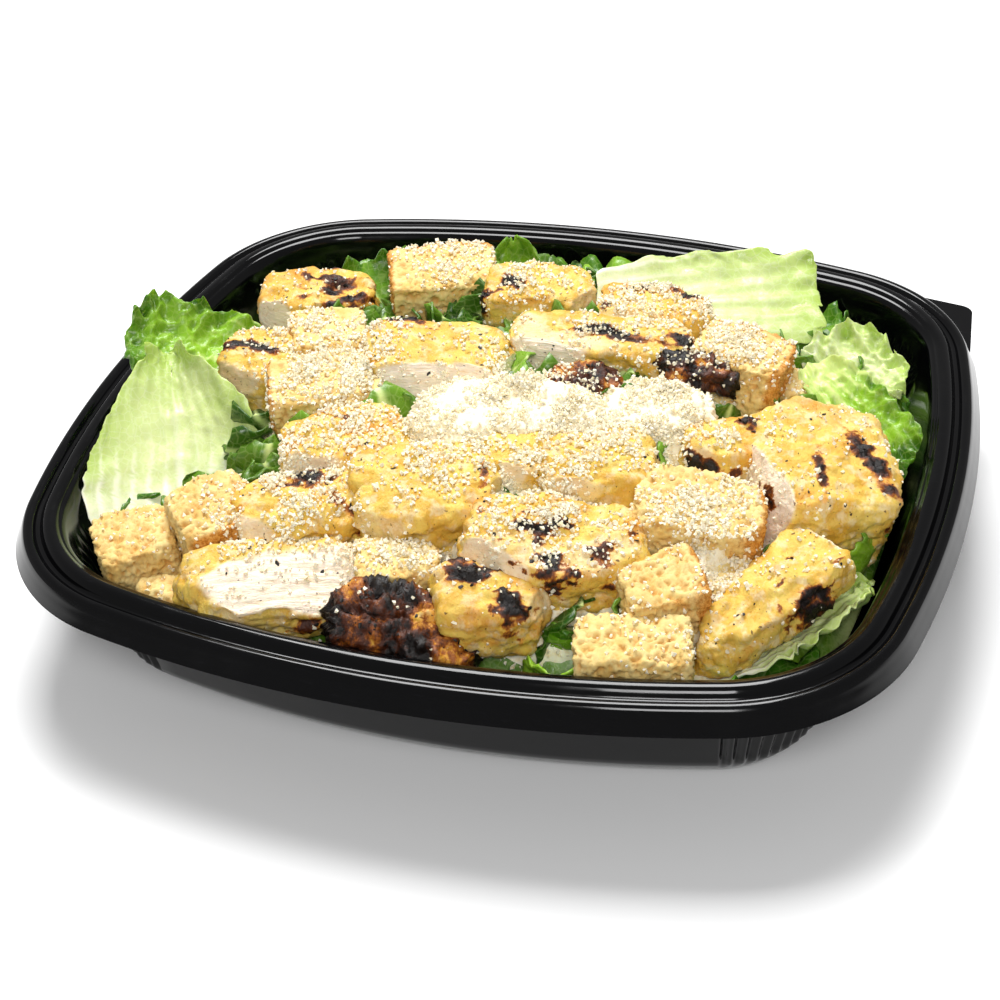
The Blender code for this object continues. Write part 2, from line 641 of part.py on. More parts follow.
def build_heap(bodies):
    """The lettuce heap under the pieces: rings that follow the bowl, lowered to fit under each piece."""
    samples = np.concatenate([surface_samples(body) for body in bodies])
    samples = samples[samples[:, 2] < HEAP_CROWN + 3 * GAP]
    samples = samples[samples[:, 0].argsort()]
    edge = outline()[::2]
    count = len(edge)
    shrinks = np.linspace(1.0, 0.0, HEAP_RINGS + 1)[:-1]
    inset = heap_ring_inset(HEAP_EDGE)
    points = [(*((p - o * inset) * shrink), 0.0) for shrink in shrinks for p, o, _ in edge]
    points = np.array(points + [(0.0, 0.0, 0.0)])
    points[:, 2] = [heap_height(x, y) for x, y, _ in points]
    faces = []
    for ring in range(HEAP_RINGS):
        for i in range(count):
            a, b = ring * count + i, ring * count + (i + 1) % count
            c, d = (b + count, a + count) if ring < HEAP_RINGS - 1 else (len(points) - 1, None)
            faces += [(a, b, c)] if d is None else [(a, b, c), (a, c, d)]
    for _ in range(HEAP_ROUNDS):
        lower_under(points, faces, samples)
        for i, (position, out, _) in enumerate(edge):
            points[i, :2] = position - out * heap_ring_inset(points[i, 2])
    floor_inset = heap_ring_inset(FLOOR_TOP) + 2 * FOOT_ROUND
    floor_ring = [(*(p - o * floor_inset), FLOOR_TOP) for p, o, _ in edge]
    builder = bmesh.new()
    verts = [builder.verts.new(Vector(point) * MM) for point in points]
    floor = [builder.verts.new(Vector(point) * MM) for point in floor_ring]
    for face in faces:
        builder.faces.new([verts[index] for index in face])
    for i in range(count):
        j = (i + 1) % count
        builder.faces.new((floor[i], floor[j], verts[j], verts[i]))
    builder.faces.new(floor[::-1])
    bmesh.ops.triangulate(builder, faces=builder.faces)
    bmesh.ops.recalc_face_normals(builder, faces=builder.faces)
    return builder


def body_object(body, collection):
    """A fitted body as an object; a leaf's sheet gets its thickness."""
    mesh = bpy.data.meshes.new(body.source.name)
    mesh.from_pydata((body.points * MM).tolist(), [], body.faces)
    thing = bpy.data.objects.new(body.source.name, mesh)
    collection.objects.link(thing)
    if body.is_leaf:
        sheet = thing.modifiers.new("sheet", "SOLIDIFY")
        sheet.thickness = LEAF_THICKNESS * MM
        sheet.offset = 0.0
    thing.data.materials.append(material_for(body.source.kind))
    return thing


def drop_loose_scraps(mesh):
    """Keep only the largest connected piece of a mesh."""
    builder = bmesh.new()
    builder.from_mesh(mesh)
    waiting = set(builder.verts)
    islands = []
    while waiting:
        island, front = set(), [waiting.pop()]
        while front:
            vert = front.pop()
            island.add(vert)
            fresh = [edge.other_vert(vert) for edge in vert.link_edges]
            fresh = [other for other in fresh if other in waiting]
            waiting.difference_update(fresh)
            front.extend(fresh)
        islands.append(island)
    islands.sort(key=len)
    scraps = [vert for island in islands[:-1] for vert in island]
    bmesh.ops.delete(builder, geom=scraps, context="VERTS")
    builder.to_mesh(mesh)
    builder.free()


def join_heap(heap, sprigs, collection):
    """Fuse the small leaves that show on to the lettuce heap."""
    union = heap.modifiers.new("sprigs", "BOOLEAN")
    union.operation = "UNION"
    union.operand_type = "COLLECTION"
    union.collection = sprigs
    union.solver = "MANIFOLD"
    depsgraph = bpy.context.evaluated_depsgraph_get()
    joined = bpy.data.meshes.new_from_object(heap.evaluated_get(depsgraph))
    heap.modifiers.clear()
    heap.data = joined
    drop_loose_scraps(heap.data)
    for sprig in list(sprigs.objects):
        bpy.data.objects.remove(sprig)
    bpy.data.collections.remove(sprigs)


def new_collection(name):
    """A collection in the scene."""
    collection = bpy.data.collections.new(name)
    bpy.context.scene.collection.children.link(collection)
    return collection


def main():
    """Clear the scene and build the bowl and its contents."""
    for thing in list(bpy.data.objects):
        bpy.data.objects.remove(thing)
    salad = new_collection("chicken_caesar_salad")
    build_bowl(salad, build_tab(new_collection("cutters")))
    sources = CHUNKS + LEAVES + SPRIGS + back_leaves()
    bodies = [Body(source, index + 1) for index, source in enumerate(sources)]
    fit_bodies(bodies)
    fused = [body for body in bodies if body.is_leaf and not body.source.own_node]
    single = [body for body in bodies if body not in fused]
    heap = new_mesh_object("lettuce_heap", build_heap(single), salad)
    heap.data.materials.append(material_for("bright"))
    for body in single:
        body_object(body, salad)
    sprigs = new_collection("sprigs")
    for body in fused:
        body_object(body, sprigs)
    join_heap(heap, sprigs, salad)


main()
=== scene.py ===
"""The looks of a chicken caesar salad in its black deli bowl.

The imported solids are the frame. Each of them is replaced by a finer piece of the same form: the
moulded bowl, the lettuce, the grilled chicken, the croutons and the grated cheese. Lengths in the
tables are millimetres, in the frame's own axes: +X along the bowl, -Y to its front and +Z up.
"""

from __future__ import annotations

import logging
import math
from dataclasses import dataclass
from enum import Enum

import bmesh
import bpy
import numpy as np
from bpy.types import Material, Mesh, Node, NodeSocket, NodeTree, Object
from mathutils import Euler, Matrix, Vector, noise
from mathutils.bvhtree import BVHTree

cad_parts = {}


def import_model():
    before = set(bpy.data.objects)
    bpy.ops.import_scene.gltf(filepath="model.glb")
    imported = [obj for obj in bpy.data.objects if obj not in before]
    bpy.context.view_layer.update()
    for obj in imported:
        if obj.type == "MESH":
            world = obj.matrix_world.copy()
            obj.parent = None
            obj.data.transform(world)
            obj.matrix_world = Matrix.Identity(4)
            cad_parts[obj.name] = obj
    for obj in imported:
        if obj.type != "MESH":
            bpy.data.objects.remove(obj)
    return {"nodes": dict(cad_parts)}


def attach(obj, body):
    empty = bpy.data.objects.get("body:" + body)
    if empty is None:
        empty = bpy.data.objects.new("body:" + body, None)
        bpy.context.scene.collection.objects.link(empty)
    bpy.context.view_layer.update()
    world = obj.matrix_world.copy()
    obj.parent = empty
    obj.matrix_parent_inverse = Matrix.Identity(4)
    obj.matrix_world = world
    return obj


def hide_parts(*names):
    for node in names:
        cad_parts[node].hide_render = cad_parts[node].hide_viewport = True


LOG = logging.getLogger("salad")
MM = 0.001
SHOULDER = 58.0  # the height in millimetres above which the heap is lowered a little
SQUASH = 0.7
SHEET_MM = 0.5  # how thick small leaves are
WALL_GAP = 1.4  # how far the lettuce stays off the wall's outer face
WALL_TOP = 43.0  # the height above which nothing is kept off the wall
Triple = tuple[float, float, float]


# --- Colour and shader helpers ---------------------------------------------------------------


def linear(code: str) -> tuple[float, float, float, float]:
    """Turn an sRGB hex colour into linear light.

    Args:
        code: The colour as "#RRGGBB".

    Returns:
        Linear red, green and blue, and an alpha of one.
    """
    parts = [int(code[i : i + 2], 16) / 255 for i in (1, 3, 5)]
    light = [p / 12.92 if p <= 0.04045 else ((p + 0.055) / 1.055) ** 2.4 for p in parts]
    return (*light, 1.0)


def add_node(tree: NodeTree, kind: str, inputs: dict | None = None, **settings: object) -> Node:
    """Add a node with its settings, values and links.

    Args:
        tree: The tree that gets the node.
        kind: The node's type name.
        inputs: A value or a socket to link for each input, by name or index.
        **settings: The node's own properties.

    Returns:
        The new node.
    """
    node = tree.nodes.new(kind)
    for name, value in settings.items():
        setattr(node, name, value)
    for key, value in (inputs or {}).items():
        if isinstance(value, NodeSocket):
            tree.links.new(value, node.inputs[key])
        else:
            node.inputs[key].default_value = value
    return node


def maths(tree: NodeTree, operation: str, *values: object) -> NodeSocket:
    """Calculate with numbers and sockets.

    Args:
        tree: The tree that gets the node.
        operation: The calculation's name.
        *values: The numbers or sockets, in their order.

    Returns:
        The result's socket.
    """
    inputs = dict(enumerate(values))
    return add_node(tree, "ShaderNodeMath", inputs, operation=operation).outputs[0]


def object_place(tree: NodeTree) -> NodeSocket:
    """The socket of the place in the object, in metres."""
    return add_node(tree, "ShaderNodeTexCoord").outputs["Object"]


def new_material(name: str) -> tuple[Material, NodeTree, Node]:
    """Make an empty material.

    Args:
        name: The real material's name.

    Returns:
        The material, its node tree and its Principled shader.
    """
    material = bpy.data.materials.new(name)
    material.use_nodes = True
    return material, material.node_tree, material.node_tree.nodes["Principled BSDF"]


def blend(tree: NodeTree, share: object, first: object, second: object) -> NodeSocket:
    """Mix two colours, each a hex code or a socket.

    Args:
        tree: The material's tree.
        share: How much of the second colour shows, a number or a socket.
        first: The first colour.
        second: The second colour.

    Returns:
        The mixed colour's socket.
    """
    colours = [linear(c) if isinstance(c, str) else c for c in (first, second)]
    inputs = {0: share, 6: colours[0], 7: colours[1]}
    return add_node(tree, "ShaderNodeMix", inputs, data_type="RGBA").outputs[2]


def window(
    tree: NodeTree, value: NodeSocket, low: float, high: float,
    start: float = 0.0, end: float = 1.0,
) -> NodeSocket:
    """Spread a range of a value smoothly over another range.

    Args:
        tree: The material's tree.
        value: The socket that is read.
        low: The value that gives the start.
        high: The value that gives the end.
        start: The result at the low value.
        end: The result at the high value.

    Returns:
        The result's socket.
    """
    inputs = {0: value, 1: low, 2: high, 3: start, 4: end}
    return add_node(tree, "ShaderNodeMapRange", inputs, interpolation_type="SMOOTHSTEP").outputs[0]


def speckle(
    tree: NodeTree, place: NodeSocket, per_unit: float,
    detail: float = 3.0, rough: float = 0.6,
) -> NodeSocket:
    """A noise pattern.

    Args:
        tree: The material's tree.
        place: The coordinates it reads.
        per_unit: How many of its spots fit in one unit of those coordinates.
        detail: How many finer layers it has.
        rough: How strong the finer layers are.

    Returns:
        The pattern's socket, from 0 to 1.
    """
    inputs = {"Vector": place, "Scale": per_unit, "Detail": detail, "Roughness": rough}
    return add_node(tree, "ShaderNodeTexNoise", inputs).outputs[0]


def attribute(tree: NodeTree, name: str) -> NodeSocket:
    """The socket of one number that the mesh holds for each point."""
    return add_node(tree, "ShaderNodeAttribute", attribute_name=name).outputs["Fac"]


def attribute_place(tree: NodeTree, name: str) -> NodeSocket:
    """The socket of a place in millimetres that the mesh holds for each point."""
    return add_node(tree, "ShaderNodeAttribute", attribute_name=name).outputs["Vector"]


def relief(tree: NodeTree, height: NodeSocket, depth: float, strength: float = 1.0) -> NodeSocket:
    """Bump from a height pattern.

    Args:
        tree: The material's tree.
        height: The pattern, from 0 to 1.
        depth: The relief in millimetres.
        strength: How much of it shows.

    Returns:
        The normal's socket.
    """
    inputs = {"Height": height, "Distance": depth * MM, "Strength": strength}
    return add_node(tree, "ShaderNodeBump", inputs).outputs["Normal"]


def ragged(tree: NodeTree, field: NodeSocket, grain: NodeSocket, size: float) -> NodeSocket:
    """Break a soft field up with a grain, so that its edge is ragged.

    Args:
        tree: The material's tree.
        field: The soft field, from 0 to 1.
        grain: The grain, about 0.5 on average.
        size: How far the grain moves the field.

    Returns:
        The ragged field's socket.
    """
    return maths(tree, "MULTIPLY_ADD", maths(tree, "SUBTRACT", grain, 0.5), size, field)


def dress(shader: Node, **values: object) -> None:
    """Set the shader's sockets, by names with _ for a space.

    Args:
        shader: The Principled shader.
        **values: A value or a socket for each.
    """
    for name, value in values.items():
        socket = shader.inputs[name.replace("_", " ")]
        if isinstance(value, NodeSocket):
            shader.id_data.links.new(value, socket)
        else:
            socket.default_value = value


# --- The finishes ----------------------------------------------------------------------------


@dataclass(frozen=True)
class MouldedPlastic:
    """Black PET sheet, vacuum formed: mirror-like, with hair-fine scratches and faint haze."""

    name: str = "pet_sheet_black_formed"
    base: str = "#030304"
    worn: str = "#0C0C0F"
    roughness: float = 0.07
    haze: float = 0.17
    scratch_mm: float = 0.35
    scratch_share: float = 0.02
    haze_mm: float = 14.0
    ripple_mm: float = 9.0

    def material(self) -> Material:
        """Build the material."""
        material, tree, shader = new_material(self.name)
        place = object_place(tree)
        stretch = {"Vector": place, "Rotation": (0.0, 0.0, 0.6), "Scale": (0.05, 1.0, 1.0)}
        streaks = add_node(tree, "ShaderNodeMapping", stretch).outputs[0]
        scratch = speckle(tree, streaks, 1 / (self.scratch_mm * MM), 2.0)
        cloud = speckle(tree, place, 1 / (self.haze_mm * MM))
        worn = window(tree, scratch, 0.62, 0.74)
        ripple = speckle(tree, place, 1 / (self.ripple_mm * MM), 1.0)
        height = maths(tree, "MULTIPLY_ADD", scratch, self.scratch_share, ripple)
        dress(
            shader,
            Base_Color=blend(tree, worn, self.base, self.worn),
            Roughness=window(tree, cloud, 0.35, 0.75, self.roughness, self.haze),
            IOR=1.54,
            Specular_IOR_Level=0.3,
            Normal=relief(tree, height, 0.12, 0.5),
        )
        return material


@dataclass(frozen=True)
class GrilledMeat:
    """Grilled chicken breast: yellow skin, pale fibrous cuts, brown and black char."""

    name: str = "chicken_breast_grilled"
    skin_light: str = "#EBCA60"
    skin_deep: str = "#DEAA3A"
    skin_pale: str = "#F8EBC2"
    flesh: str = "#F8E8D0"
    flesh_shade: str = "#EFD3AE"
    sear: str = "#DE952F"
    brown: str = "#9C5618"
    char_brown: str = "#4E2410"
    char_black: str = "#110906"
    patch_mm: float = 5.0
    fibre_mm: float = 0.7
    fibre_length_mm: float = 4.0
    crust_mm: float = 0.8
    speck_mm: float = 0.9
    spot_mm: float = 2.6

    def material(self) -> Material:
        """Build the material."""
        material, tree, shader = new_material(self.name)
        place = attribute_place(tree, "grain")
        scale = (1 / self.fibre_length_mm, 1 / self.fibre_mm, 1 / self.fibre_mm)
        along = add_node(tree, "ShaderNodeMapping", {"Vector": place, "Scale": scale}).outputs[0]
        fibres = speckle(tree, along, 1.0, 3.0, 0.65)
        crust = speckle(tree, place, 1 / self.crust_mm, 4.0, 0.7)
        broad = speckle(tree, place, 1 / self.patch_mm)
        skin = blend(tree, window(tree, broad, 0.35, 0.65), self.skin_light, self.skin_deep)
        spots = window(tree, speckle(tree, place, 1 / self.spot_mm, 3.0), 0.48, 0.66, 0.0, 0.5)
        skin = blend(tree, spots, skin, self.skin_pale)
        flesh = blend(tree, window(tree, fibres, 0.3, 0.5), self.flesh_shade, self.flesh)
        cut = attribute(tree, "cut")
        colour = blend(tree, cut, skin, flesh)
        sear = ragged(tree, attribute(tree, "sear"), crust, 0.8)
        colour = blend(tree, window(tree, sear, 0.35, 1.0, 0.0, 0.9), colour, self.sear)
        char = ragged(tree, attribute(tree, "char"), crust, 1.1)
        colour = blend(tree, window(tree, char, 0.1, 0.34), colour, self.brown)
        colour = blend(tree, window(tree, char, 0.3, 0.55), colour, self.char_brown)
        colour = blend(tree, window(tree, char, 0.58, 0.92), colour, self.char_black)
        specks = speckle(tree, place, 1 / self.speck_mm, 1.0)
        colour = blend(tree, window(tree, specks, 0.71, 0.76, 0.0, 0.8), colour, self.char_brown)
        height = blend(tree, cut, crust, fibres)
        dress(
            shader,
            Base_Color=colour,
            Roughness=window(tree, crust, 0.3, 0.7, 0.24, 0.55),
            IOR=1.42,
            Subsurface_Weight=0.12,
            Subsurface_Radius=(1.0, 0.45, 0.2),
            Subsurface_Scale=0.0016,
            Normal=relief(tree, height, 0.45, 1.0),
        )
        return material


@dataclass(frozen=True)
class ToastedBread:
    """Toasted white bread: a pale open crumb with painted shade darkening its holes, and a brown
    fried crust.
    """

    name: str = "white_bread_toasted"
    crumb_light: str = "#F2D994"
    crumb_deep: str = "#E3BC6A"
    # The colour of the painted shade in the crumb's holes.
    hole_shade: str = "#C48A3C"
    crust_light: str = "#E2A550"
    crust_deep: str = "#B4701F"
    patch_mm: float = 5.0
    crumb_mm: float = 0.7

    def material(self) -> Material:
        """Build the material."""
        material, tree, shader = new_material(self.name)
        place = attribute_place(tree, "grain")
        fine = speckle(tree, place, 1 / self.crumb_mm, 4.0, 0.7)
        broad = speckle(tree, place, 1 / self.patch_mm)
        crumb = blend(tree, window(tree, broad, 0.35, 0.7), self.crumb_light, self.crumb_deep)
        # The crumb is painted darker in its holes: painted shade in the recesses.
        crumb = blend(
            tree, window(tree, attribute(tree, "hole_shade"), 0.1, 1.0, 0.0, 0.75), crumb, self.hole_shade
        )
        crust = blend(tree, window(tree, fine, 0.35, 0.65), self.crust_light, self.crust_deep)
        toast = ragged(tree, attribute(tree, "toast"), fine, 0.7)
        colour = blend(tree, window(tree, toast, 0.15, 1.05), crumb, crust)
        dress(
            shader,
            Base_Color=colour,
            Roughness=window(tree, fine, 0.3, 0.7, 0.55, 0.8),
            IOR=1.4,
            Subsurface_Weight=0.08,
            Subsurface_Radius=(1.0, 0.6, 0.3),
            Subsurface_Scale=0.0012,
            Normal=relief(tree, fine, 0.3, 0.8),
        )
        return material


@dataclass(frozen=True)
class HardCheese:
    """Hard cheese, finely grated: dry cream-white grains that let a little light through."""

    name: str = "hard_cheese_grated"
    light: str = "#FCF4DC"
    deep: str = "#EEDCB0"
    grain_mm: float = 1.6

    def material(self) -> Material:
        """Build the material."""
        material, tree, shader = new_material(self.name)
        place = object_place(tree)
        grain = speckle(tree, place, 1 / (self.grain_mm * MM), 2.0)
        dress(
            shader,
            Base_Color=blend(tree, window(tree, grain, 0.42, 0.72), self.light, self.deep),
            Roughness=window(tree, grain, 0.3, 0.7, 0.45, 0.65),
            IOR=1.45,
            Subsurface_Weight=0.25,
            Subsurface_Radius=(1.0, 0.8, 0.5),
            Subsurface_Scale=0.0008,
            Normal=relief(tree, grain, 0.15, 0.5),
        )
        return material


@dataclass(frozen=True)
class FreshLeaf:
    """Lettuce leaf: waxy and damp, pale at the ribs and the base, greener to its edge."""

    name: str
    rib: str
    light: str
    deep: str
    vein_mm: float = 2.4
    clear: float = 0.22
    patch_mm: float = 12.0

    def material(self) -> Material:
        """Build the material."""
        material, tree, shader = new_material(self.name)
        place = object_place(tree)
        patch = speckle(tree, place, 1 / (self.patch_mm * MM), 1.0)
        warped = speckle(tree, place, 1 / (self.vein_mm * MM), 3.0, 0.7)
        veins = add_node(
            tree,
            "ShaderNodeTexVoronoi",
            {"Vector": place, "Scale": 1 / (self.vein_mm * MM), "Randomness": 1.0},
            feature="DISTANCE_TO_EDGE",
        ).outputs["Distance"]
        green = ragged(tree, attribute(tree, "green"), patch, 0.5)
        colour = blend(tree, window(tree, green, 0.0, 1.0), self.light, self.deep)
        rib = ragged(tree, attribute(tree, "rib"), warped, 0.3)
        colour = blend(tree, window(tree, rib, 0.2, 0.9), colour, self.rib)
        colour = blend(tree, window(tree, veins, 0.0, 0.1, 0.16, 0.0), colour, self.rib)
        dress(
            shader,
            Base_Color=colour,
            Roughness=window(tree, warped, 0.3, 0.7, 0.22, 0.42),
            IOR=1.42,
            Subsurface_Weight=self.clear,
            Subsurface_Radius=(0.7, 1.0, 0.25),
            Subsurface_Scale=0.0014,
            Normal=relief(tree, warped, 0.3, 0.5),
        )
        return material


@dataclass(frozen=True)
class BlackPepper:
    """Black pepper and burnt flakes: near-black, matt, with brown edges."""

    name: str = "black_pepper_cracked"
    light: str = "#3A2114"
    deep: str = "#0E0A08"
    grain_mm: float = 0.9

    def material(self) -> Material:
        """Build the material."""
        material, tree, shader = new_material(self.name)
        place = object_place(tree)
        grain = speckle(tree, place, 1 / (self.grain_mm * MM))
        colour = blend(tree, window(tree, grain, 0.5, 0.75), self.deep, self.light)
        dress(shader, Base_Color=colour, Roughness=0.55, Normal=relief(tree, grain, 0.1))
        return material


@dataclass(frozen=True)
class WhiteBoard:
    """Matt white studio board for the floor."""

    name: str = "studio_board_white"
    base: str = "#FBFBFB"

    def material(self) -> Material:
        """Build the material."""
        material, tree, shader = new_material(self.name)
        place = object_place(tree)
        cloud = speckle(tree, place, 4.0)
        colour = blend(tree, window(tree, cloud, 0.3, 0.7, 0.0, 0.1), self.base, "#F2F2F2")
        dress(shader, Base_Color=colour, Roughness=0.9, Specular_IOR_Level=0.1)
        return material


# --- Noise on points -------------------------------------------------------------------------


def scatter_hash(cells: np.ndarray, seed: int) -> np.ndarray:
    """One even random number for each whole-number cell.

    Args:
        cells: Cells as (..., 3) integers.
        seed: The draw's seed.

    Returns:
        Numbers from 0 to 1.
    """
    mixed = (cells[..., 0] * 73856093) ^ (cells[..., 1] * 19349663) ^ (cells[..., 2] * 83492791)
    mixed = (mixed ^ (seed * 2654435)) & 0x7FFFFFFF
    mixed = ((mixed ^ (mixed >> 15)) * 2246822519) & 0x7FFFFFFF
    mixed = ((mixed ^ (mixed >> 13)) * 3266489917) & 0x7FFFFFFF
    return ((mixed ^ (mixed >> 16)) & 0xFFFFFF) / 0x1000000


def soft_noise(points: np.ndarray, seed: int) -> np.ndarray:
    """Smooth noise with a pitch of one unit.

    Args:
        points: Places as (n, 3).
        seed: The draw's seed.

    Returns:
        Numbers from -1 to 1.
    """
    cell = np.floor(points).astype(np.int64)
    part = points - cell
    part = part * part * part * (part * (part * 6 - 15) + 10)
    total = np.zeros(len(points))
    for corner in np.ndindex(2, 2, 2):
        weight = np.prod(np.where(np.array(corner) == 1, part, 1 - part), axis=1)
        total += weight * scatter_hash(cell + np.array(corner), seed)
    return total * 2 - 1


TURNED = np.array(Euler((0.7, 0.4, 1.1)).to_matrix())


def rough_noise(points: np.ndarray, size: float | Triple, seed: int, layers: int = 3) -> np.ndarray:
    """Layers of smooth noise, each finer and weaker.

    Args:
        points: Places in millimetres, as (n, 3).
        size: The pitch of the broadest layer in millimetres, or one for each axis.
        seed: The draw's seed.
        layers: How many layers.

    Returns:
        Numbers from about -1 to 1.
    """
    place = points / np.array(size)
    total, weight, whole = np.zeros(len(points)), 1.0, 0.0
    for layer in range(layers):
        total += weight * soft_noise(place, seed + layer)
        whole += weight
        place = (place * 2.03) @ TURNED
        weight *= 0.5
    return total / whole * 1.6


def cell_noise(points: np.ndarray, size: float, seed: int) -> tuple[np.ndarray, np.ndarray]:
    """Round cells scattered through space.

    Args:
        points: Places in millimetres, as (n, 3).
        size: The cells' pitch in millimetres.
        seed: The draw's seed.

    Returns:
        The distance to the nearest cell's middle, in pitches, and that cell's own random number.
    """
    place = points / size
    home = np.floor(place).astype(np.int64)
    nearest = np.full(len(points), 9.0)
    value = np.zeros(len(points))
    for step in np.ndindex(3, 3, 3):
        cell = home + np.array(step) - 1
        middle = cell + np.stack([scatter_hash(cell, seed + axis) for axis in range(3)], 1)
        distance = np.linalg.norm(place - middle, axis=1)
        closer = distance < nearest
        nearest[closer] = distance[closer]
        value[closer] = scatter_hash(cell[closer], seed + 9)
    return nearest, value


def smooth_step(value: np.ndarray, low: float, high: float) -> np.ndarray:
    """Rise smoothly from 0 at low to 1 at high, or fall where low is the larger."""
    share = np.clip((value - low) / (high - low), 0.0, 1.0)
    return share * share * (3 - 2 * share)


# --- Mesh helpers ----------------------------------------------------------------------------


def link_mesh(name: str, mesh: Mesh) -> Object:
    """Put a mesh into the scene as an object at the origin."""
    thing = bpy.data.objects.new(name, mesh)
    bpy.context.scene.collection.objects.link(thing)
    return thing


def mesh_from(name: str, points: np.ndarray, faces: list) -> Mesh:
    """Make a mesh from places in millimetres.

    Args:
        name: The mesh's name.
        points: Places as (n, 3).
        faces: The corner numbers of each face.

    Returns:
        The mesh, in metres.
    """
    mesh = bpy.data.meshes.new(name)
    mesh.from_pydata((np.asarray(points) * MM).tolist(), [], faces)
    return mesh


def places(mesh: Mesh) -> np.ndarray:
    """The mesh's points in millimetres, as (n, 3)."""
    flat = np.empty(len(mesh.vertices) * 3)
    mesh.vertices.foreach_get("co", flat)
    return flat.reshape(-1, 3) / MM


def normals(mesh: Mesh) -> np.ndarray:
    """The mesh's point normals, as (n, 3)."""
    flat = np.empty(len(mesh.vertices) * 3, np.float32)
    mesh.vertex_normals.foreach_get("vector", flat)
    return flat.reshape(-1, 3).astype(float)


def put_places(mesh: Mesh, points: np.ndarray) -> None:
    """Move the mesh's points to places in millimetres."""
    mesh.vertices.foreach_set("co", (points * MM).ravel())
    mesh.update()


def put_number(mesh: Mesh, name: str, values: np.ndarray) -> None:
    """Store one number for each point."""
    mesh.attributes.new(name, "FLOAT", "POINT").data.foreach_set("value", values.astype(np.float32))


def put_vector(mesh: Mesh, name: str, values: np.ndarray) -> None:
    """Store one place for each point."""
    stored = mesh.attributes.new(name, "FLOAT_VECTOR", "POINT")
    stored.data.foreach_set("vector", values.astype(np.float32).ravel())


def shade_smooth(mesh: Mesh) -> None:
    """Shade every face of the mesh smooth."""
    mesh.polygons.foreach_set("use_smooth", np.ones(len(mesh.polygons), bool))
    mesh.update()


def numbers_of(mesh: Mesh, name: str) -> np.ndarray:
    """The numbers stored for each point."""
    values = np.empty(len(mesh.vertices), np.float32)
    mesh.attributes[name].data.foreach_get("value", values)
    return values


def coat(mesh: Mesh, finish: Material) -> None:
    """Shade the mesh smooth and give it one material."""
    shade_smooth(mesh)
    mesh.materials.clear()
    mesh.materials.append(finish)


def leaf_axes(
    base: Triple, tip: Triple, across: Triple
) -> tuple[float, np.ndarray, np.ndarray, np.ndarray]:
    """A leaf's own axes.

    Args:
        base: Where its stalk starts.
        tip: Where it ends.
        across: About the way its width lies.

    Returns:
        Its length, and the directions along it, across it and up from it.
    """
    along = np.array(tip, float) - np.array(base, float)
    length = np.linalg.norm(along)
    along = along / length
    side = np.array(across, float)
    side -= along * (side @ along)
    side /= np.linalg.norm(side)
    up = np.cross(along, side)
    up *= 1.0 if up[2] > 0 else -1.0
    return length, along, side, up


def bake(thing: Object) -> None:
    """Replace an object's mesh by its evaluated one and drop its modifiers."""
    depsgraph = bpy.context.evaluated_depsgraph_get()
    mesh = bpy.data.meshes.new_from_object(thing.evaluated_get(depsgraph))
    thing.modifiers.clear()
    thing.data = mesh


def welded_copy(node: Object, name: str) -> Object:
    """A copy of a solid whose loose triangles are joined."""
    builder = bmesh.new()
    builder.from_mesh(node.data)
    bmesh.ops.remove_doubles(builder, verts=builder.verts, dist=0.001 * MM)
    mesh = bpy.data.meshes.new(name)
    builder.to_mesh(mesh)
    builder.free()
    return link_mesh(name, mesh)


def dense_copy(node: Object, name: str, pitch: float, rounding: int) -> Object:
    """A copy of a solid with rounded facets and an even, fine grid.

    Args:
        node: The solid.
        name: The copy's name.
        pitch: The grid's pitch in millimetres.
        rounding: Levels of subdivision that round the facets first.

    Returns:
        The copy.
    """
    thing = welded_copy(node, name)
    rounded = thing.modifiers.new("rounded", "SUBSURF")
    rounded.levels = rounded.render_levels = rounding
    grid = thing.modifiers.new("grid", "REMESH")
    grid.mode = "VOXEL"
    grid.voxel_size = pitch * MM
    softened = thing.modifiers.new("softened", "SMOOTH")
    softened.iterations = 3
    bake(thing)
    return thing


def squared(grain: np.ndarray, sharpness: float, before: float) -> np.ndarray:
    """Push a rounded box's edges and corners out, as a knife leaves them.

    Args:
        grain: The points along the box's own axes, from its middle.
        sharpness: The power of the rounded box that is wanted.
        before: The power that it has.

    Returns:
        The factor by which each point moves from the middle.
    """
    share = np.abs(grain) / np.abs(grain).max(0)
    now = (share**before).sum(1) ** (1 / before)
    wanted = (share**sharpness).sum(1) ** (1 / sharpness)
    return now / wanted


def settled(points: np.ndarray) -> np.ndarray:
    """Lower what stands above the heap's shoulder, so that there is room for cheese on it."""
    points = points.copy()
    points[:, 2] -= (1 - SQUASH) * np.maximum(points[:, 2] - SHOULDER, 0.0)
    return points


def serve(piece: Object, slot: str, *nodes: str) -> None:
    """Hand a finished piece to the frame and report it.

    Args:
        piece: The finished piece.
        slot: The material slot's name; not used.
        *nodes: The solids that it replaces.
    """
    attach(piece, "root")
    if nodes:
        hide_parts(*nodes)
    triangles = sum(len(face.vertices) - 2 for face in piece.data.polygons)
    LOG.info("%s: %d triangles", piece.name, triangles)


# --- The bowl --------------------------------------------------------------------------------


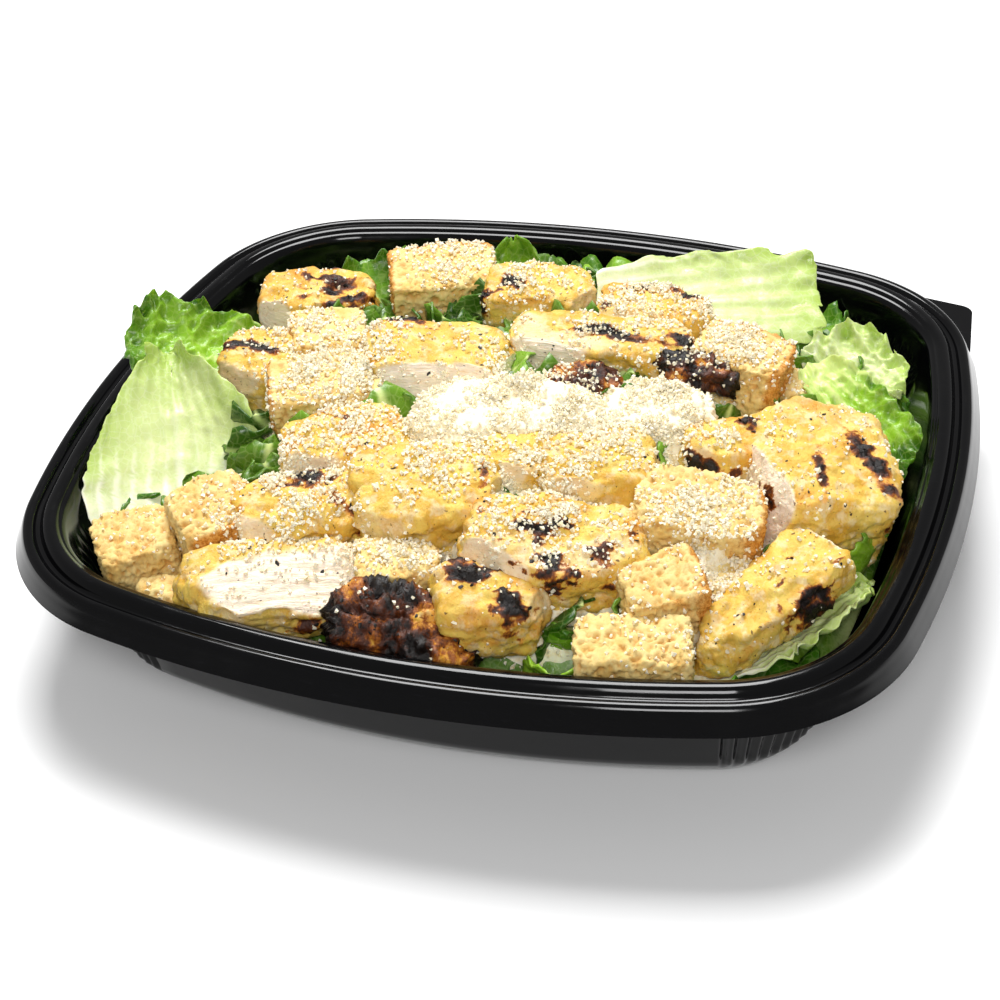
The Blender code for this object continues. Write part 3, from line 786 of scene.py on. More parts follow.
@dataclass
class DeliBowl:
    """The shallow bowl: one formed sheet with a stepped rim, fluted corners and a pull tab."""

    half_length: float = 115.0
    half_width: float = 106.0
    bow_x: float = 310.0
    bow_y: float = 300.0
    corner_radius: float = 48.0
    sheet: float = 0.8
    height: float = 41.0
    lip_inset: float = 12.4
    lip_height: float = 36.6
    foot_inset: float = 23.0
    flutes: int = 10
    flute_depth: float = 1.1
    flute_bottom: float = 3.5
    flute_top: float = 33.0
    side_steps: int = 14
    corner_steps: int = 110
    crease: float = 50.0
    tab_thickness: float = 0.9
    tab_height: float = 35.6
    tab_tip: tuple[float, float] = (40.0, 35.5)
    tab_tip_radius: float = 4.0
    tab_span: tuple[float, float] = (4.0, 84.0)

    def __post_init__(self) -> None:
        """Work out where the corner arc touches both bowed sides."""
        left = np.array([self.half_length - self.bow_x, 0.0])
        low = np.array([0.0, self.half_width - self.bow_y])
        reach_left, reach_low = self.bow_x - self.corner_radius, self.bow_y - self.corner_radius
        between = low - left
        distance = float(np.linalg.norm(between))
        along = (reach_left**2 - reach_low**2 + distance**2) / (2 * distance)
        across = math.sqrt(reach_left**2 - along**2)
        foot = left + between * along / distance
        side = np.array([-between[1], between[0]]) / distance
        self.corner = max((foot + side * across, foot - side * across), key=lambda p: p.sum())
        self.start = math.atan2(self.corner[1], self.corner[0] - left[0])
        self.end = math.atan2(self.corner[1] - low[1], self.corner[0])

    def wall_inset(self, z: float) -> float:
        """How far the wall stands inside the outer edge at a height."""
        share = min(max(z / self.lip_height, 0.0), 1.0)
        return self.foot_inset + (self.lip_inset - self.foot_inset) * share

    def depth(self, points: np.ndarray) -> tuple[np.ndarray, np.ndarray]:
        """How far places are inside the bowl's outer edge, seen from above.

        Args:
            points: Places in millimetres, as (n, 3).

        Returns:
            The depths and the directions straight outwards, as (n, 2).
        """
        sign = np.where(points[:, :2] < 0, -1.0, 1.0)
        flat = np.abs(points[:, :2])
        depths = np.full(len(flat), 1e9)
        outward = np.zeros_like(flat)
        angle = np.arctan2(*(flat - self.corner).T[::-1])
        near_corner = (angle >= self.start) & (angle <= self.end)
        sides = (
            (np.array([self.half_length - self.bow_x, 0.0]), self.bow_x, ~near_corner),
            (np.array([0.0, self.half_width - self.bow_y]), self.bow_y, ~near_corner),
            (self.corner, self.corner_radius, near_corner),
        )
        for middle, radius, mine in sides:
            away = flat - middle
            reach = np.linalg.norm(away, axis=1)
            closer = mine & (radius - reach < depths)
            depths[closer] = (radius - reach)[closer]
            outward[closer] = (away / np.maximum(reach, 1e-6)[:, None])[closer]
        return depths, outward * sign

    def keep_inside(self, points: np.ndarray, margin: float, top: float) -> np.ndarray:
        """Pull places that would cross the wall back inside it.

        Args:
            points: Places in millimetres, as (n, 3).
            margin: How far they stay off the wall's outer face.
            top: The height above which nothing is pulled.

        Returns:
            The places, pulled in where they crossed.
        """
        points = points.copy()
        depths, outward = self.depth(points)
        share = np.clip(points[:, 2] / self.lip_height, 0, 1)
        inset = self.foot_inset + (self.lip_inset - self.foot_inset) * share + margin
        short = np.where(points[:, 2] < top, np.maximum(inset - depths, 0.0), 0.0)
        points[:, :2] -= outward * short[:, None]
        return points

    def quarter(self) -> list[tuple[np.ndarray, np.ndarray, float]]:
        """The outer edge from +X to +Y.

        Returns:
            For each point its place, the outward direction and how far a flute goes in there.
        """
        points = []

        def arc(middle: np.ndarray, radius: float, angles: np.ndarray, fluted: bool) -> None:
            """Add one arc of the edge.

            Args:
                middle: The arc's middle.
                radius: Its radius in millimetres.
                angles: Its angles from +X.
                fluted: Whether the flutes go in there.
            """
            for step, angle in enumerate(angles):
                out = np.array([math.cos(angle), math.sin(angle)])
                share = step / len(angles)
                dip = math.sin(math.pi * self.flutes * share) ** 2 if fluted else 0.0
                points.append((middle + radius * out, out, dip))

        side = np.linspace(0.0, self.start, self.side_steps, endpoint=False)
        arc(np.array([self.half_length - self.bow_x, 0.0]), self.bow_x, side, False)
        corner = np.linspace(self.start, self.end, self.corner_steps, endpoint=False)
        arc(self.corner, self.corner_radius, corner, True)
        far = np.linspace(self.end, math.pi / 2, self.side_steps + 1)
        arc(np.array([0.0, self.half_width - self.bow_y]), self.bow_y, far, False)
        return points

    def outline(self) -> list[tuple[np.ndarray, np.ndarray, float]]:
        """The whole outer edge, anticlockwise from +X."""
        quarter = self.quarter()
        half = quarter + [(p * (-1, 1), o * (-1, 1), f) for p, o, f in quarter[-2::-1]]
        return half + [(-p, -o, f) for p, o, f in half[1:-1]]

    def profile(self) -> list[tuple[float, float]]:
        """The section as (inset, height), from the skirt's edge over the rim to the middle."""
        top = self.height
        rim = [
            (0.0, top - 6.6), (0.25, top - 6.1), (0.8, top - 4.9), (1.4, top - 3.6),
            (1.9, top - 2.6),
            (2.3, top - 1.6), (2.7, top - 1.05), (3.3, top - 0.9), (3.8, top - 1.1),
            (4.1, top - 1.6),
            (4.5, top - 2.1), (5.2, top - 2.25), (6.2, top - 2.2), (6.7, top - 1.8),
            (7.1, top - 1.1),
            (7.5, top - 0.4), (8.0, top - 0.05), (8.8, top), (9.5, top - 0.1), (9.9, top - 0.5),
            (10.2, top - 0.9), (10.7, top - 1.0), (11.1, top - 1.2), (11.5, top - 1.8),
            (12.0, top - 3.2),
        ]
        heights = np.concatenate(
            [np.linspace(self.lip_height, 33.5, 4), np.linspace(32.0, 8.0, 13)]
        )
        wall = [(self.wall_inset(z), float(z)) for z in heights]
        low = self.foot_inset
        foot = [
            (self.wall_inset(6.5), 6.5), (low - 0.9, 5.2), (low, 4.0), (low + 1.1, 2.8),
            (low + 2.4, 1.6), (low + 4.0, 0.6), (low + 6.7, 0.0), (low + 16.0, 0.0),
        ]
        return rim + wall + foot

    def tab_plate(self, builder: bmesh.types.BMesh) -> None:
        """Add the corner tab, a flat plate with a rounded tip, as a closed solid."""
        inner = self.corner_radius - 1.2
        start, end = (math.radians(angle) for angle in self.tab_span)
        middle = self.corner + np.array(self.tab_tip)
        ring = [
            self.corner + inner * np.array([math.cos(a), math.sin(a)])
            for a in np.linspace(start, end, 20)
        ]
        ring += [
            middle + self.tab_tip_radius * np.array([math.cos(a), math.sin(a)])
            for a in np.linspace(end, start, 20)
        ]
        half = self.tab_thickness / 2
        levels = [self.tab_height - half, self.tab_height + half]
        rows = [[builder.verts.new((x * MM, y * MM, z * MM)) for x, y in ring] for z in levels]
        count = len(ring)
        for i in range(count):
            j = (i + 1) % count
            builder.faces.new((rows[0][i], rows[0][j], rows[1][j], rows[1][i]))
        mirror = count - 1
        for row, flip in ((rows[1], False), (rows[0], True)):
            for i in range(count // 2 - 1):
                face = [row[i], row[i + 1], row[mirror - i - 1], row[mirror - i]]
                builder.faces.new(face[::-1] if flip else face)

    def build(self, finish: Material) -> Object:
        """Loft the sheet, thicken it inwards and add the tab.

        Args:
            finish: The bowl's material.

        Returns:
            The bowl.
        """
        edge = self.outline()
        builder = bmesh.new()
        rings = []
        for inset, z in self.profile():
            fade = smooth_step(np.array(z), self.flute_bottom - 1, self.flute_bottom + 5)
            fade *= smooth_step(np.array(z), self.flute_top + 1, self.flute_top - 5)
            depth = self.flute_depth * float(fade) if inset >= self.lip_inset else 0.0
            ring = []
            for place, out, flute in edge:
                x, y = place - out * (inset + depth * flute)
                ring.append(builder.verts.new((x * MM, y * MM, z * MM)))
            rings.append(ring)
        for upper, lower in zip(rings, rings[1:]):
            for i in range(len(edge)):
                j = (i + 1) % len(edge)
                builder.faces.new((upper[i], upper[j], lower[j], lower[i]))
        builder.faces.new(rings[-1])
        bmesh.ops.recalc_face_normals(builder, faces=builder.faces)
        if builder.faces[0].normal.z < 0:
            bmesh.ops.reverse_faces(builder, faces=builder.faces)
        mesh = bpy.data.meshes.new("deli_bowl")
        builder.to_mesh(mesh)
        builder.free()
        bowl = link_mesh("deli_bowl", mesh)
        shell = bowl.modifiers.new("sheet", "SOLIDIFY")
        shell.thickness = self.sheet * MM
        shell.offset = 1.0
        shell.use_even_offset = True
        bake(bowl)
        builder = bmesh.new()
        self.tab_plate(builder)
        bmesh.ops.recalc_face_normals(builder, faces=builder.faces)
        builder.from_mesh(bowl.data)
        builder.to_mesh(bowl.data)
        builder.free()
        coat(bowl.data, finish)
        bowl.data.set_sharp_from_angle(angle=math.radians(self.crease))
        return bowl


# --- Chicken ---------------------------------------------------------------------------------


@dataclass(frozen=True)
class Cut:
    """A knife cut: the way it faces, the share of the reach left, and how bare the flesh is."""

    facing: Triple
    keep: float = 0.86
    bare: float = 1.0


@dataclass(frozen=True)
class Burn:
    """A charred streak: middle, reach, blackness, length for its width, and how it lies."""

    middle: Triple
    reach: float
    black: float = 1.0
    slim: float = 2.2
    lies: float = 0.0


@dataclass(frozen=True)
class ChickenPiece:
    """One piece of grilled chicken: how its grain lies, its cuts, burns and browning."""

    node: str
    turn: Triple
    cuts: tuple[Cut, ...] = ()
    burns: tuple[Burn, ...] = ()
    sear: float = 0.25
    crackle: float = 0.0
    scorch: float = 0.75
    lump_mm: float = 10.0
    ridge_mm: Triple = (14.0, 7.0, 7.0)
    wave_mm: float = 8.0
    fibre_mm: Triple = (9.0, 1.5, 1.5)
    wrinkle_mm: float = 2.2
    pit_mm: float = 3.2
    scorch_mm: Triple = (7.0, 4.0, 4.0)
    crackle_mm: float = 1.8
    strand_mm: Triple = (8.0, 2.6, 2.6)
    crease_mm: Triple = (5.0, 3.4, 3.4)
    sear_mm: float = 5.0
    torn_mm: Triple = (4.0, 2.2, 2.2)

    def build(self, finish: Material, seed: int, pitch: float) -> Object:
        """Carve the piece from its solid.

        Args:
            finish: The meat's material.
            seed: The piece's own seed.
            pitch: The grid's pitch in millimetres.

        Returns:
            The piece.
        """
        node = FRAME_NODES[self.node]
        piece = dense_copy(node, f"grilled_{self.node}", pitch, 2)
        mesh = piece.data
        points = places(mesh)
        middle = (points.min(0) + points.max(0)) / 2
        turn = np.array(Euler([math.radians(angle) for angle in self.turn]).to_matrix())
        grain = (points - middle) @ turn
        out = normals(mesh)
        lump = rough_noise(grain, self.lump_mm, seed)
        ridge = 1 - np.abs(rough_noise(grain, self.ridge_mm, seed + 20, 2))
        points = middle + (points - middle) * squared(grain, 6.5, 3.4)[:, None]
        points += out * (0.9 + 1.0 * lump + 0.9 * (ridge - 0.6))[:, None]
        bare = np.zeros(len(points))
        for number, cut in enumerate(self.cuts):
            facing = np.array(cut.facing) / np.linalg.norm(cut.facing)
            along = (points - middle) @ facing
            wave = 0.5 * rough_noise(grain, self.wave_mm, seed + 30 + number, 2)
            over = along - cut.keep * along.max() - wave
            points -= np.outer(np.maximum(over, 0.0) * 0.92, facing)
            bare = np.maximum(bare, cut.bare * smooth_step(over, -0.5, 0.4))
        put_places(mesh, points)
        out = normals(mesh)
        fibres = np.abs(rough_noise(grain, self.fibre_mm, seed + 40, 3))
        wrinkle = rough_noise(grain, self.wrinkle_mm, seed + 50, 3)
        pits = cell_noise(grain, self.pit_mm, seed + 60)
        dents = smooth_step(pits[0], 0.45, 0.1) * (pits[1] > 0.55)
        share = np.sort(np.abs(grain) / np.abs(grain).max(0), axis=1)
        upper = smooth_step(points[:, 2], middle[2] - 2, middle[2] + 4)
        edge = smooth_step(share[:, 1], 0.55, 0.92) * upper
        scorch = edge + 0.9 * rough_noise(grain, self.scorch_mm, seed + 95, 4)
        burn = self.scorch * smooth_step(scorch, 0.95, 1.6)
        burn = np.maximum(burn * (1 - 0.6 * bare), self.burnt(points, grain, seed))
        crackle = 1 - np.abs(rough_noise(grain, self.crackle_mm, seed + 70, 3)) * 2
        strands = 1 - 2 * np.abs(rough_noise(grain, self.strand_mm, seed + 45, 3))
        skin = 0.5 * wrinkle - 0.7 * dents + 0.6 * strands
        rise = bare * (0.2 - 0.45 * fibres) + (1 - bare) * skin
        rise += burn * (0.6 * crackle)
        creased = 1 - 2 * np.abs(rough_noise(grain, self.crease_mm, seed + 75, 4))
        rise += self.crackle * (1.5 * creased + 0.7 * crackle - 0.6)
        points = settled(points + out * rise[:, None])
        put_places(mesh, points)
        sear = 0.5 * rough_noise(grain, self.sear_mm, seed + 80, 3) + 0.6 * self.sear + 0.3 * edge
        sear = np.maximum(sear, 0.9 * smooth_step(burn, 0.0, 0.15))
        put_number(mesh, "cut", bare)
        put_number(mesh, "sear", np.clip(sear * (1 - 0.7 * bare), 0, 1))
        put_number(mesh, "char", burn)
        put_vector(mesh, "grain", grain)
        coat(mesh, finish)
        return piece

    def burnt(self, points: np.ndarray, grain: np.ndarray, seed: int) -> np.ndarray:
        """How charred each point is.

        Args:
            points: The points in the frame.
            grain: The same points along the piece's own axes.
            seed: The piece's own seed.

        Returns:
            Numbers from 0 to 1.
        """
        torn = rough_noise(grain, self.torn_mm, seed + 90, 4)
        burn = self.crackle * (0.68 + 0.75 * rough_noise(grain, self.sear_mm, seed + 92, 3))
        for patch in self.burns:
            angle = math.radians(patch.lies)
            away = points - np.array(patch.middle)
            long = away[:, 0] * math.cos(angle) + away[:, 1] * math.sin(angle)
            wide = away[:, 1] * math.cos(angle) - away[:, 0] * math.sin(angle)
            distance = np.sqrt(long**2 + (wide * patch.slim) ** 2 + away[:, 2] ** 2) / patch.reach
            distance += 1.8 * torn / max(patch.slim, 2.0)
            burn = np.maximum(burn, patch.black * smooth_step(distance, 0.85, 0.15))
        return np.clip(burn, 0, 1)


CHICKEN = (
    ChickenPiece("chicken_01", (0, 0, 14), (Cut((-0.2, -1, 0.1), 0.85),),
                 (Burn((-54, 29, 52), 13, 0.9, 2.4, 8), Burn((-60, 34, 54), 8, 0.7, 2.0, 0)), 0.7,
                 0.0, 1.0),
    ChickenPiece("chicken_02", (8, 0, 8),
                 (Cut((-0.3, -1, 0.2), 0.84, 0.5), Cut((-1, 0, 0.2), 0.88, 0.3)),
                 (Burn((-68, -6, 57), 13, 1.0, 3.6, 12),), 0.1),
    ChickenPiece("chicken_03", (10, 0, 16), (Cut((0.3, -1, 0.35), 0.78), Cut((1, -0.1, 0), 0.88)),
                 (Burn((-29, 4, 66), 8), Burn((-36, 2, 60), 5, 0.5)), 0.4),
    ChickenPiece("chicken_04", (5, 6, 10), (Cut((1, -0.4, 0.1), 0.88, 0.3),),
                 (Burn((-10, 32, 63), 6), Burn((-2, 27, 55), 4), Burn((-15, 27, 60), 5)), 0.35),
    ChickenPiece("chicken_05", (6, 3, 8),
                 (Cut((-0.1, -1, 0.3), 0.72), Cut((0, -0.3, 1), 0.85, 0.4)),
                 (Burn((24, 13, 62), 16, 1.0, 4.0, 5), Burn((41, 16, 60), 6)), 0.2, 0.0, 0.3),
    ChickenPiece("chicken_06", (0, 4, 6), (Cut((0, -0.6, 0.8), 0.85, 0.2),),
                 (Burn((26, 40, 60), 6), Burn((34, 40, 59), 6)), 0.35),
    ChickenPiece("chicken_07", (0, 8, 4), (), (), 0.8, 1.0),
    ChickenPiece("chicken_08", (6, 8, 6), (), (), 0.8, 0.75),
    ChickenPiece("chicken_09", (8, 6, 26), (Cut((-0.3, -1, 0.3), 0.85, 0.4),),
                 (Burn((65, -12, 55), 7), Burn((52, -26, 52), 6), Burn((62, -25, 50), 5, 0.6)),
                 0.6),
    ChickenPiece("chicken_10", (6, 8, 20),
                 (Cut((-0.75, -0.65, 0.35), 0.74), Cut((0.2, 0.2, 1), 0.85, 0.1)),
                 (Burn((82, -26, 54), 11, 0.9, 4.5, -72), Burn((92, -17, 52), 18, 1.0, 4.5, -51),
                  Burn((70, -30, 50), 6, 0.8, 3.0, -60)), 0.2, 0.0, 0.2),
    ChickenPiece("chicken_11", (0, -12, 54), (Cut((0.4, 0.8, 0.4), 0.84),),
                 (Burn((86, -58, 42), 9, 1.0, 1.8, 54), Burn((80, -50, 46), 2.5)), 0.15, 0.0, 0.1),
    ChickenPiece("chicken_12", (14, -6, 26),
                 (Cut((-0.2, -1, 0.1), 0.84, 0.25), Cut((1, 0, 0), 0.9, 0.3)),
                 (), 0.15),
    ChickenPiece("chicken_13", (10, 0, 30), (Cut((0.1, -1, 0.2), 0.8, 0.7),),
                 (Burn((-33, -34, 59), 5, 0.6),), 0.6),
    ChickenPiece("chicken_14", (10, -4, 26), (Cut((-0.2, -1, 0.4), 0.82, 0.6),),
                 (Burn((-36, -54, 54), 10, 1.0, 2.4, 0), Burn((-22, -60, 50), 6, 0.5)), 0.5, 0.0,
                 1.0),
    ChickenPiece("chicken_15", (12, -3, 20),
                 (Cut((0.25, -0.45, 0.85), 0.62), Cut((0.3, -1, -0.3), 0.86, 0.1)),
                 (Burn((-25, -84, 34), 6, 0.6),), 0.15, 0.0, 0.3),
    ChickenPiece("chicken_16", (28, 6, 8), (), (), 0.9, 0.85),
    ChickenPiece("chicken_17", (12, 6, 14), (Cut((1, -0.3, 0.4), 0.85, 0.3),),
                 (Burn((23, -80, 47), 9, 1.0, 2.0, -40), Burn((14, -75, 51), 7, 1.0, 2.0, 20)),
                 0.55, 0.0, 1.0),
    ChickenPiece("chicken_18", (12, 6, 14),
                 (Cut((-0.3, -1, 0.2), 0.82, 0.8), Cut((0.2, -0.3, 1), 0.9, 0.3)),
                 (Burn((26, -60, 56), 10, 0.9, 2.0, 40), Burn((29, -70, 51), 7, 1.0, 1.8, 0),
                  Burn((39, -64, 53), 8, 0.7, 2.0, -70)), 0.55, 0.0, 1.0),
    ChickenPiece("chicken_19", (8, 4, 20), (Cut((0.2, -1, 0.2), 0.85, 0.35),), (), 0.3),
    ChickenPiece("chicken_20", (8, 0, 20), (Cut((-0.3, -1, 0.3), 0.82, 0.7),), (), 0.1),
)


# --- Croutons --------------------------------------------------------------------------------


@dataclass(frozen=True)
class Crouton:
    """One crouton: how it is turned and which ways its brown crust faces."""

    node: str
    turn: Triple
    crusts: tuple[Triple, ...] = ()
    toast: float = 0.2
    flat_share: float = 0.88

    def build(self, finish: Material, seed: int, pitch: float) -> Object:
        """Carve the crouton from its solid: six flat cuts, open holes in the crumb and the crust.

        Args:
            finish: The bread's material.
            seed: The crouton's own seed.
            pitch: The grid's pitch in millimetres.

        Returns:
            The crouton.
        """
        piece = dense_copy(FRAME_NODES[self.node], f"toasted_{self.node}", pitch, 1)
        mesh = piece.data
        points = places(mesh)
        middle = (points.min(0) + points.max(0)) / 2
        turn = np.array(Euler([math.radians(angle) for angle in self.turn]).to_matrix())
        out = normals(mesh)
        points = middle + (points - middle) * squared((points - middle) @ turn, 11.0, 5.5)[:, None]
        points += out * (1.2 + 0.6 * rough_noise(points - middle, 9.0, seed))[:, None]
        for axis in range(3):
            for sign in (-1.0, 1.0):
                facing = turn[:, axis] * sign
                along = (points - middle) @ facing
                over = along - self.flat_share * along.max()
                points -= np.outer(np.maximum(over, 0.0) * 0.85, facing)
        put_places(mesh, points)
        grain = (points - middle) @ turn
        out = normals(mesh)
        crust = np.zeros(len(points))
        for facing in self.crusts:
            facing = np.array(facing) / np.linalg.norm(facing)
            crust = np.maximum(crust, smooth_step(out @ facing, 0.3, 0.8))
        crust *= 0.85 + 0.3 * rough_noise(grain, 3.0, seed + 10)
        holes = np.zeros(len(points))
        torn = grain + 0.5 * np.stack(
            [rough_noise(grain, 1.6, seed + 60 + i, 2) for i in range(3)], 1
        )
        for size, share in ((2.3, 0.25), (1.5, 0.6), (1.05, 0.9)):
            distance, value = cell_noise(torn, size, seed + int(size * 10))
            depth = smooth_step(distance, 0.6, 0.15) * (value < share) * min(size / 1.6, 1.1)
            holes = np.maximum(holes, depth)
        threads = np.abs(rough_noise(grain, 2.4, seed + 20, 3))
        rise = -1.15 * holes * (1 - 0.75 * crust) + 0.45 * rough_noise(grain, 1.8, seed + 30)
        rise += crust * (0.35 - 0.9 * threads)
        points = settled(points + out * rise[:, None])
        put_places(mesh, points)
        toast = crust + self.toast + 0.25 * rough_noise(grain, 5.0, seed + 40)
        # The hole depth is also the mask for the painted shade in the holes.
        put_number(mesh, "hole_shade", np.clip(holes, 0, 1))
        put_number(mesh, "toast", np.clip(toast, 0, 1))
        put_vector(mesh, "grain", grain)
        coat(mesh, finish)
        return piece


CROUTONS = (
    Crouton("crouton_01", (6, -6, 36), ((0, 0, -1),), 0.3),
    Crouton("crouton_02", (10, -6, 42), ((1, -0.4, 0), (0, 0, -1)), 0.3),
    Crouton("crouton_03", (6, 0, 20), ((0, 0, -1),), 0.2),
    Crouton("crouton_04", (6, 0, 22), ((-0.9, -0.2, 0.2), (0, 0.9, 0.3)), 0.2),
    Crouton("crouton_05", (8, 0, 22), ((-1, 0, 0),), 0.05),
    Crouton("crouton_06", (10, 0, 24), ((-0.8, -0.6, 0.1),), 0.1),
    Crouton("crouton_07", (0, 6, -8), ((1, -0.4, 0.1), (0.6, 0.6, 0.3)), 0.2),
    Crouton("crouton_08", (0, 0, 20), ((0, 1, 0),), 0.1),
    Crouton("crouton_09", (10, 8, 8), ((1, -0.2, 0),), 0.15),
    Crouton("crouton_10", (10, 0, 32), ((1, 0.1, 0.2), (0, 0, -1)), 0.22),
    Crouton("crouton_11", (14, 0, 14), ((0, 0, -1),), 0.05),
    Crouton("crouton_12", (6, 0, 10), ((1, 0, -0.2),), 0.2),
    Crouton("crouton_13", (8, 0, 20), ((0, 0, -1),), 0.15),
)


# --- Lettuce ---------------------------------------------------------------------------------


class Green(Enum):
    """How green a leaf is."""

    PALE = "pale"
    BRIGHT = "bright"


@dataclass(frozen=True)
class LettuceLeaf:
    """One leaf that shows: base, tip, the way its width lies, ribs, blisters and frill."""

    node: str
    green: Green
    base: Triple
    tip: Triple
    across: Triple
    ribs: float = 0.5
    rib_pitch: float = 5.0
    blister: float = 0.7
    blister_mm: float = 6.0
    frill: float = 1.0
    base_pale: float = 0.6
    taper: float = 0.0
    # How strongly painted shade darkens the blister hollows and lightens the blister tops.
    blister_shade: float = 0.2
    midrib_mm: float = 2.2

    def build(self, finish: Material, seed: int) -> Object:
        """Refine the solid leaf: both faces are moved alike, so that it stays a thin sheet.

        Args:
            finish: The leaf's material.
            seed: The leaf's own seed.

        Returns:
            The leaf.
        """
        piece = welded_copy(FRAME_NODES[self.node], f"lettuce_{self.node}")
        finer = piece.modifiers.new("finer", "SUBSURF")
        finer.levels = finer.render_levels = 3
        bake(piece)
        mesh = piece.data
        points = places(mesh)
        base, tip = np.array(self.base, float), np.array(self.tip, float)
        length, along, across, up = leaf_axes(self.base, self.tip, self.across)
        offset = points - (base + tip) / 2
        u, v = offset @ along, offset @ across
        half = np.abs(v).max()
        run = np.clip(u / length + 0.5, 0, 1)
        side = np.clip(np.abs(v) / half, 0, 1)
        flat = np.stack([u, v, np.full(len(u), seed * 7.0)], 1)
        fan = v / (0.45 + 0.55 * run)
        wander = 1.2 * rough_noise(flat, 14.0, seed + 3, 2)
        ribs = np.cos((fan + wander) / self.rib_pitch * 2 * math.pi)
        ribs = np.sign(ribs) * np.abs(ribs) ** 0.7
        blister = 1 - np.abs(rough_noise(flat, self.blister_mm, seed, 3)) * 2.2
        edge = np.maximum(side, smooth_step(run, 0.55, 1.0))
        frill = np.sin(np.arctan2(v, u) * 13 + 7 * rough_noise(flat, 9.0, seed + 7, 1))
        midrib = smooth_step(np.abs(v), self.midrib_mm, 0.4) * (1 - run)
        rise = self.ribs * 0.5 * ribs * (0.4 + 0.6 * run) + self.blister * blister
        rise += self.frill * frill * edge**3 + 0.9 * midrib
        points += up * rise[:, None]
        ragged = rough_noise(flat, 4.0, seed + 11, 3) * edge**4
        points += along * (1.0 * ragged)[:, None] + across * (1.2 * ragged * np.sign(v))[:, None]
        points += across * (self.taper * (0.5 - run) * v)[:, None]
        put_places(mesh, points)
        # Painted shade: less green on the blister tops, more green in the blister hollows.
        green = 0.12 + 0.45 * edge**2 + 0.3 * run - self.blister_shade * blister
        put_number(mesh, "green", np.clip(green, 0, 1))
        rib = self.base_pale * smooth_step(run, 0.6, 0.0) + 0.35 * smooth_step(ribs, 0.5, 1.0)
        put_number(mesh, "rib", np.clip(np.maximum(rib, midrib), 0, 1))
        coat(mesh, finish)
        return piece


LEAVES = (
    LettuceLeaf("leaf_pale_left", Green.PALE, (-70, -52, 27), (-90, -8, 55), (35, 21, 8),
                0.5, 5.2, 0.35, 12.0, 0.15, 0.85, 1.1, 0.05),
    LettuceLeaf("leaf_bright_left", Green.BRIGHT, (-70, 8, 40), (-104, -6, 53), (2, 10, 1),
                0.2, 6.0, 1.3, 5.0, 1.6, 0.3),
    LettuceLeaf("leaf_pleated_back", Green.PALE, (12, 38, 54), (68, 62, 49), (-15, 22, 9),
                0.4, 6.5, 0.3, 10.0, 0.3, 0.5, 0.0, 0.08),
    LettuceLeaf("leaf_rib_right", Green.BRIGHT, (70, 27, 49), (99, 5, 37), (5, 8, 3),
                0.4, 5.0, 0.8, 5.0, 1.0, 0.8),
    LettuceLeaf("leaf_frill_right", Green.PALE, (74, 30, 40), (90, 44, 47), (-6, 7, 2),
                0.4, 5.0, 0.9, 4.0, 1.8, 0.5),
    LettuceLeaf("leaf_clear_front", Green.PALE, (62, -76, 25), (98, -34, 33), (6, -5, 3),
                0.7, 4.0, 0.5, 6.0, 0.9, 0.8),
)


@dataclass(frozen=True)
class Sprig:
    """A small leaf that stands out of the bed: base, tip, the way its width lies, its waves."""

    base: Triple
    tip: Triple
    across: Triple
    width: float
    curl: float
    wave: float
    waves: float
    tip_share: float
    green: float = 0.5

    def sheet(self, seed: int) -> tuple[np.ndarray, list, np.ndarray, np.ndarray]:
        """The leaf as an open sheet.

        Args:
            seed: The leaf's own seed.

        Returns:
            Points, faces, how green and how rib-like each point is.
        """
        builder = bmesh.new()
        bmesh.ops.create_grid(builder, x_segments=26, y_segments=14, size=1.0)
        flat = np.array([vert.co[:] for vert in builder.verts])
        faces = [[vert.index for vert in face.verts] for face in builder.faces]
        builder.free()
        u, v = flat[:, 0], flat[:, 1]
        base, tip = np.array(self.base, float), np.array(self.tip, float)
        length, along, across, up = leaf_axes(self.base, self.tip, self.across)
        end = np.where(u > 0, self.tip_share, 0.6)
        rounded = 1 - np.abs(u) ** 3 * (1 - end)
        place = np.stack([u, v, np.full(len(u), float(seed))], 1)
        torn = 1 + 0.12 * rough_noise(place, 0.4, seed, 3)
        ripple = np.sin(u * self.waves * math.pi + seed) * v * v
        crinkle = 1 - 2 * np.abs(rough_noise(place, (0.35, 0.45, 1.0), seed + 3, 3))
        midrib = smooth_step(np.abs(v), 0.16, 0.02) * smooth_step(u, 1.0, -0.2)
        rise = self.curl * self.width / 2 * v * v + self.wave * ripple
        rise = rise + 0.7 * crinkle * (0.4 + np.abs(v))
        rise += 0.8 * midrib + 0.8 * np.sin(u * 15 + seed) * np.abs(v) ** 5
        points = (base + tip) / 2 + np.outer(u * length / 2 * torn, along)
        points += np.outer(v * self.width / 2 * rounded * torn, across) + np.outer(rise, up)
        green = self.green + 0.25 * np.abs(v) - 0.2 * crinkle + 0.15 * u
        return points, faces, np.clip(green, 0, 1), np.clip(midrib - 0.15 * u, 0, 1)


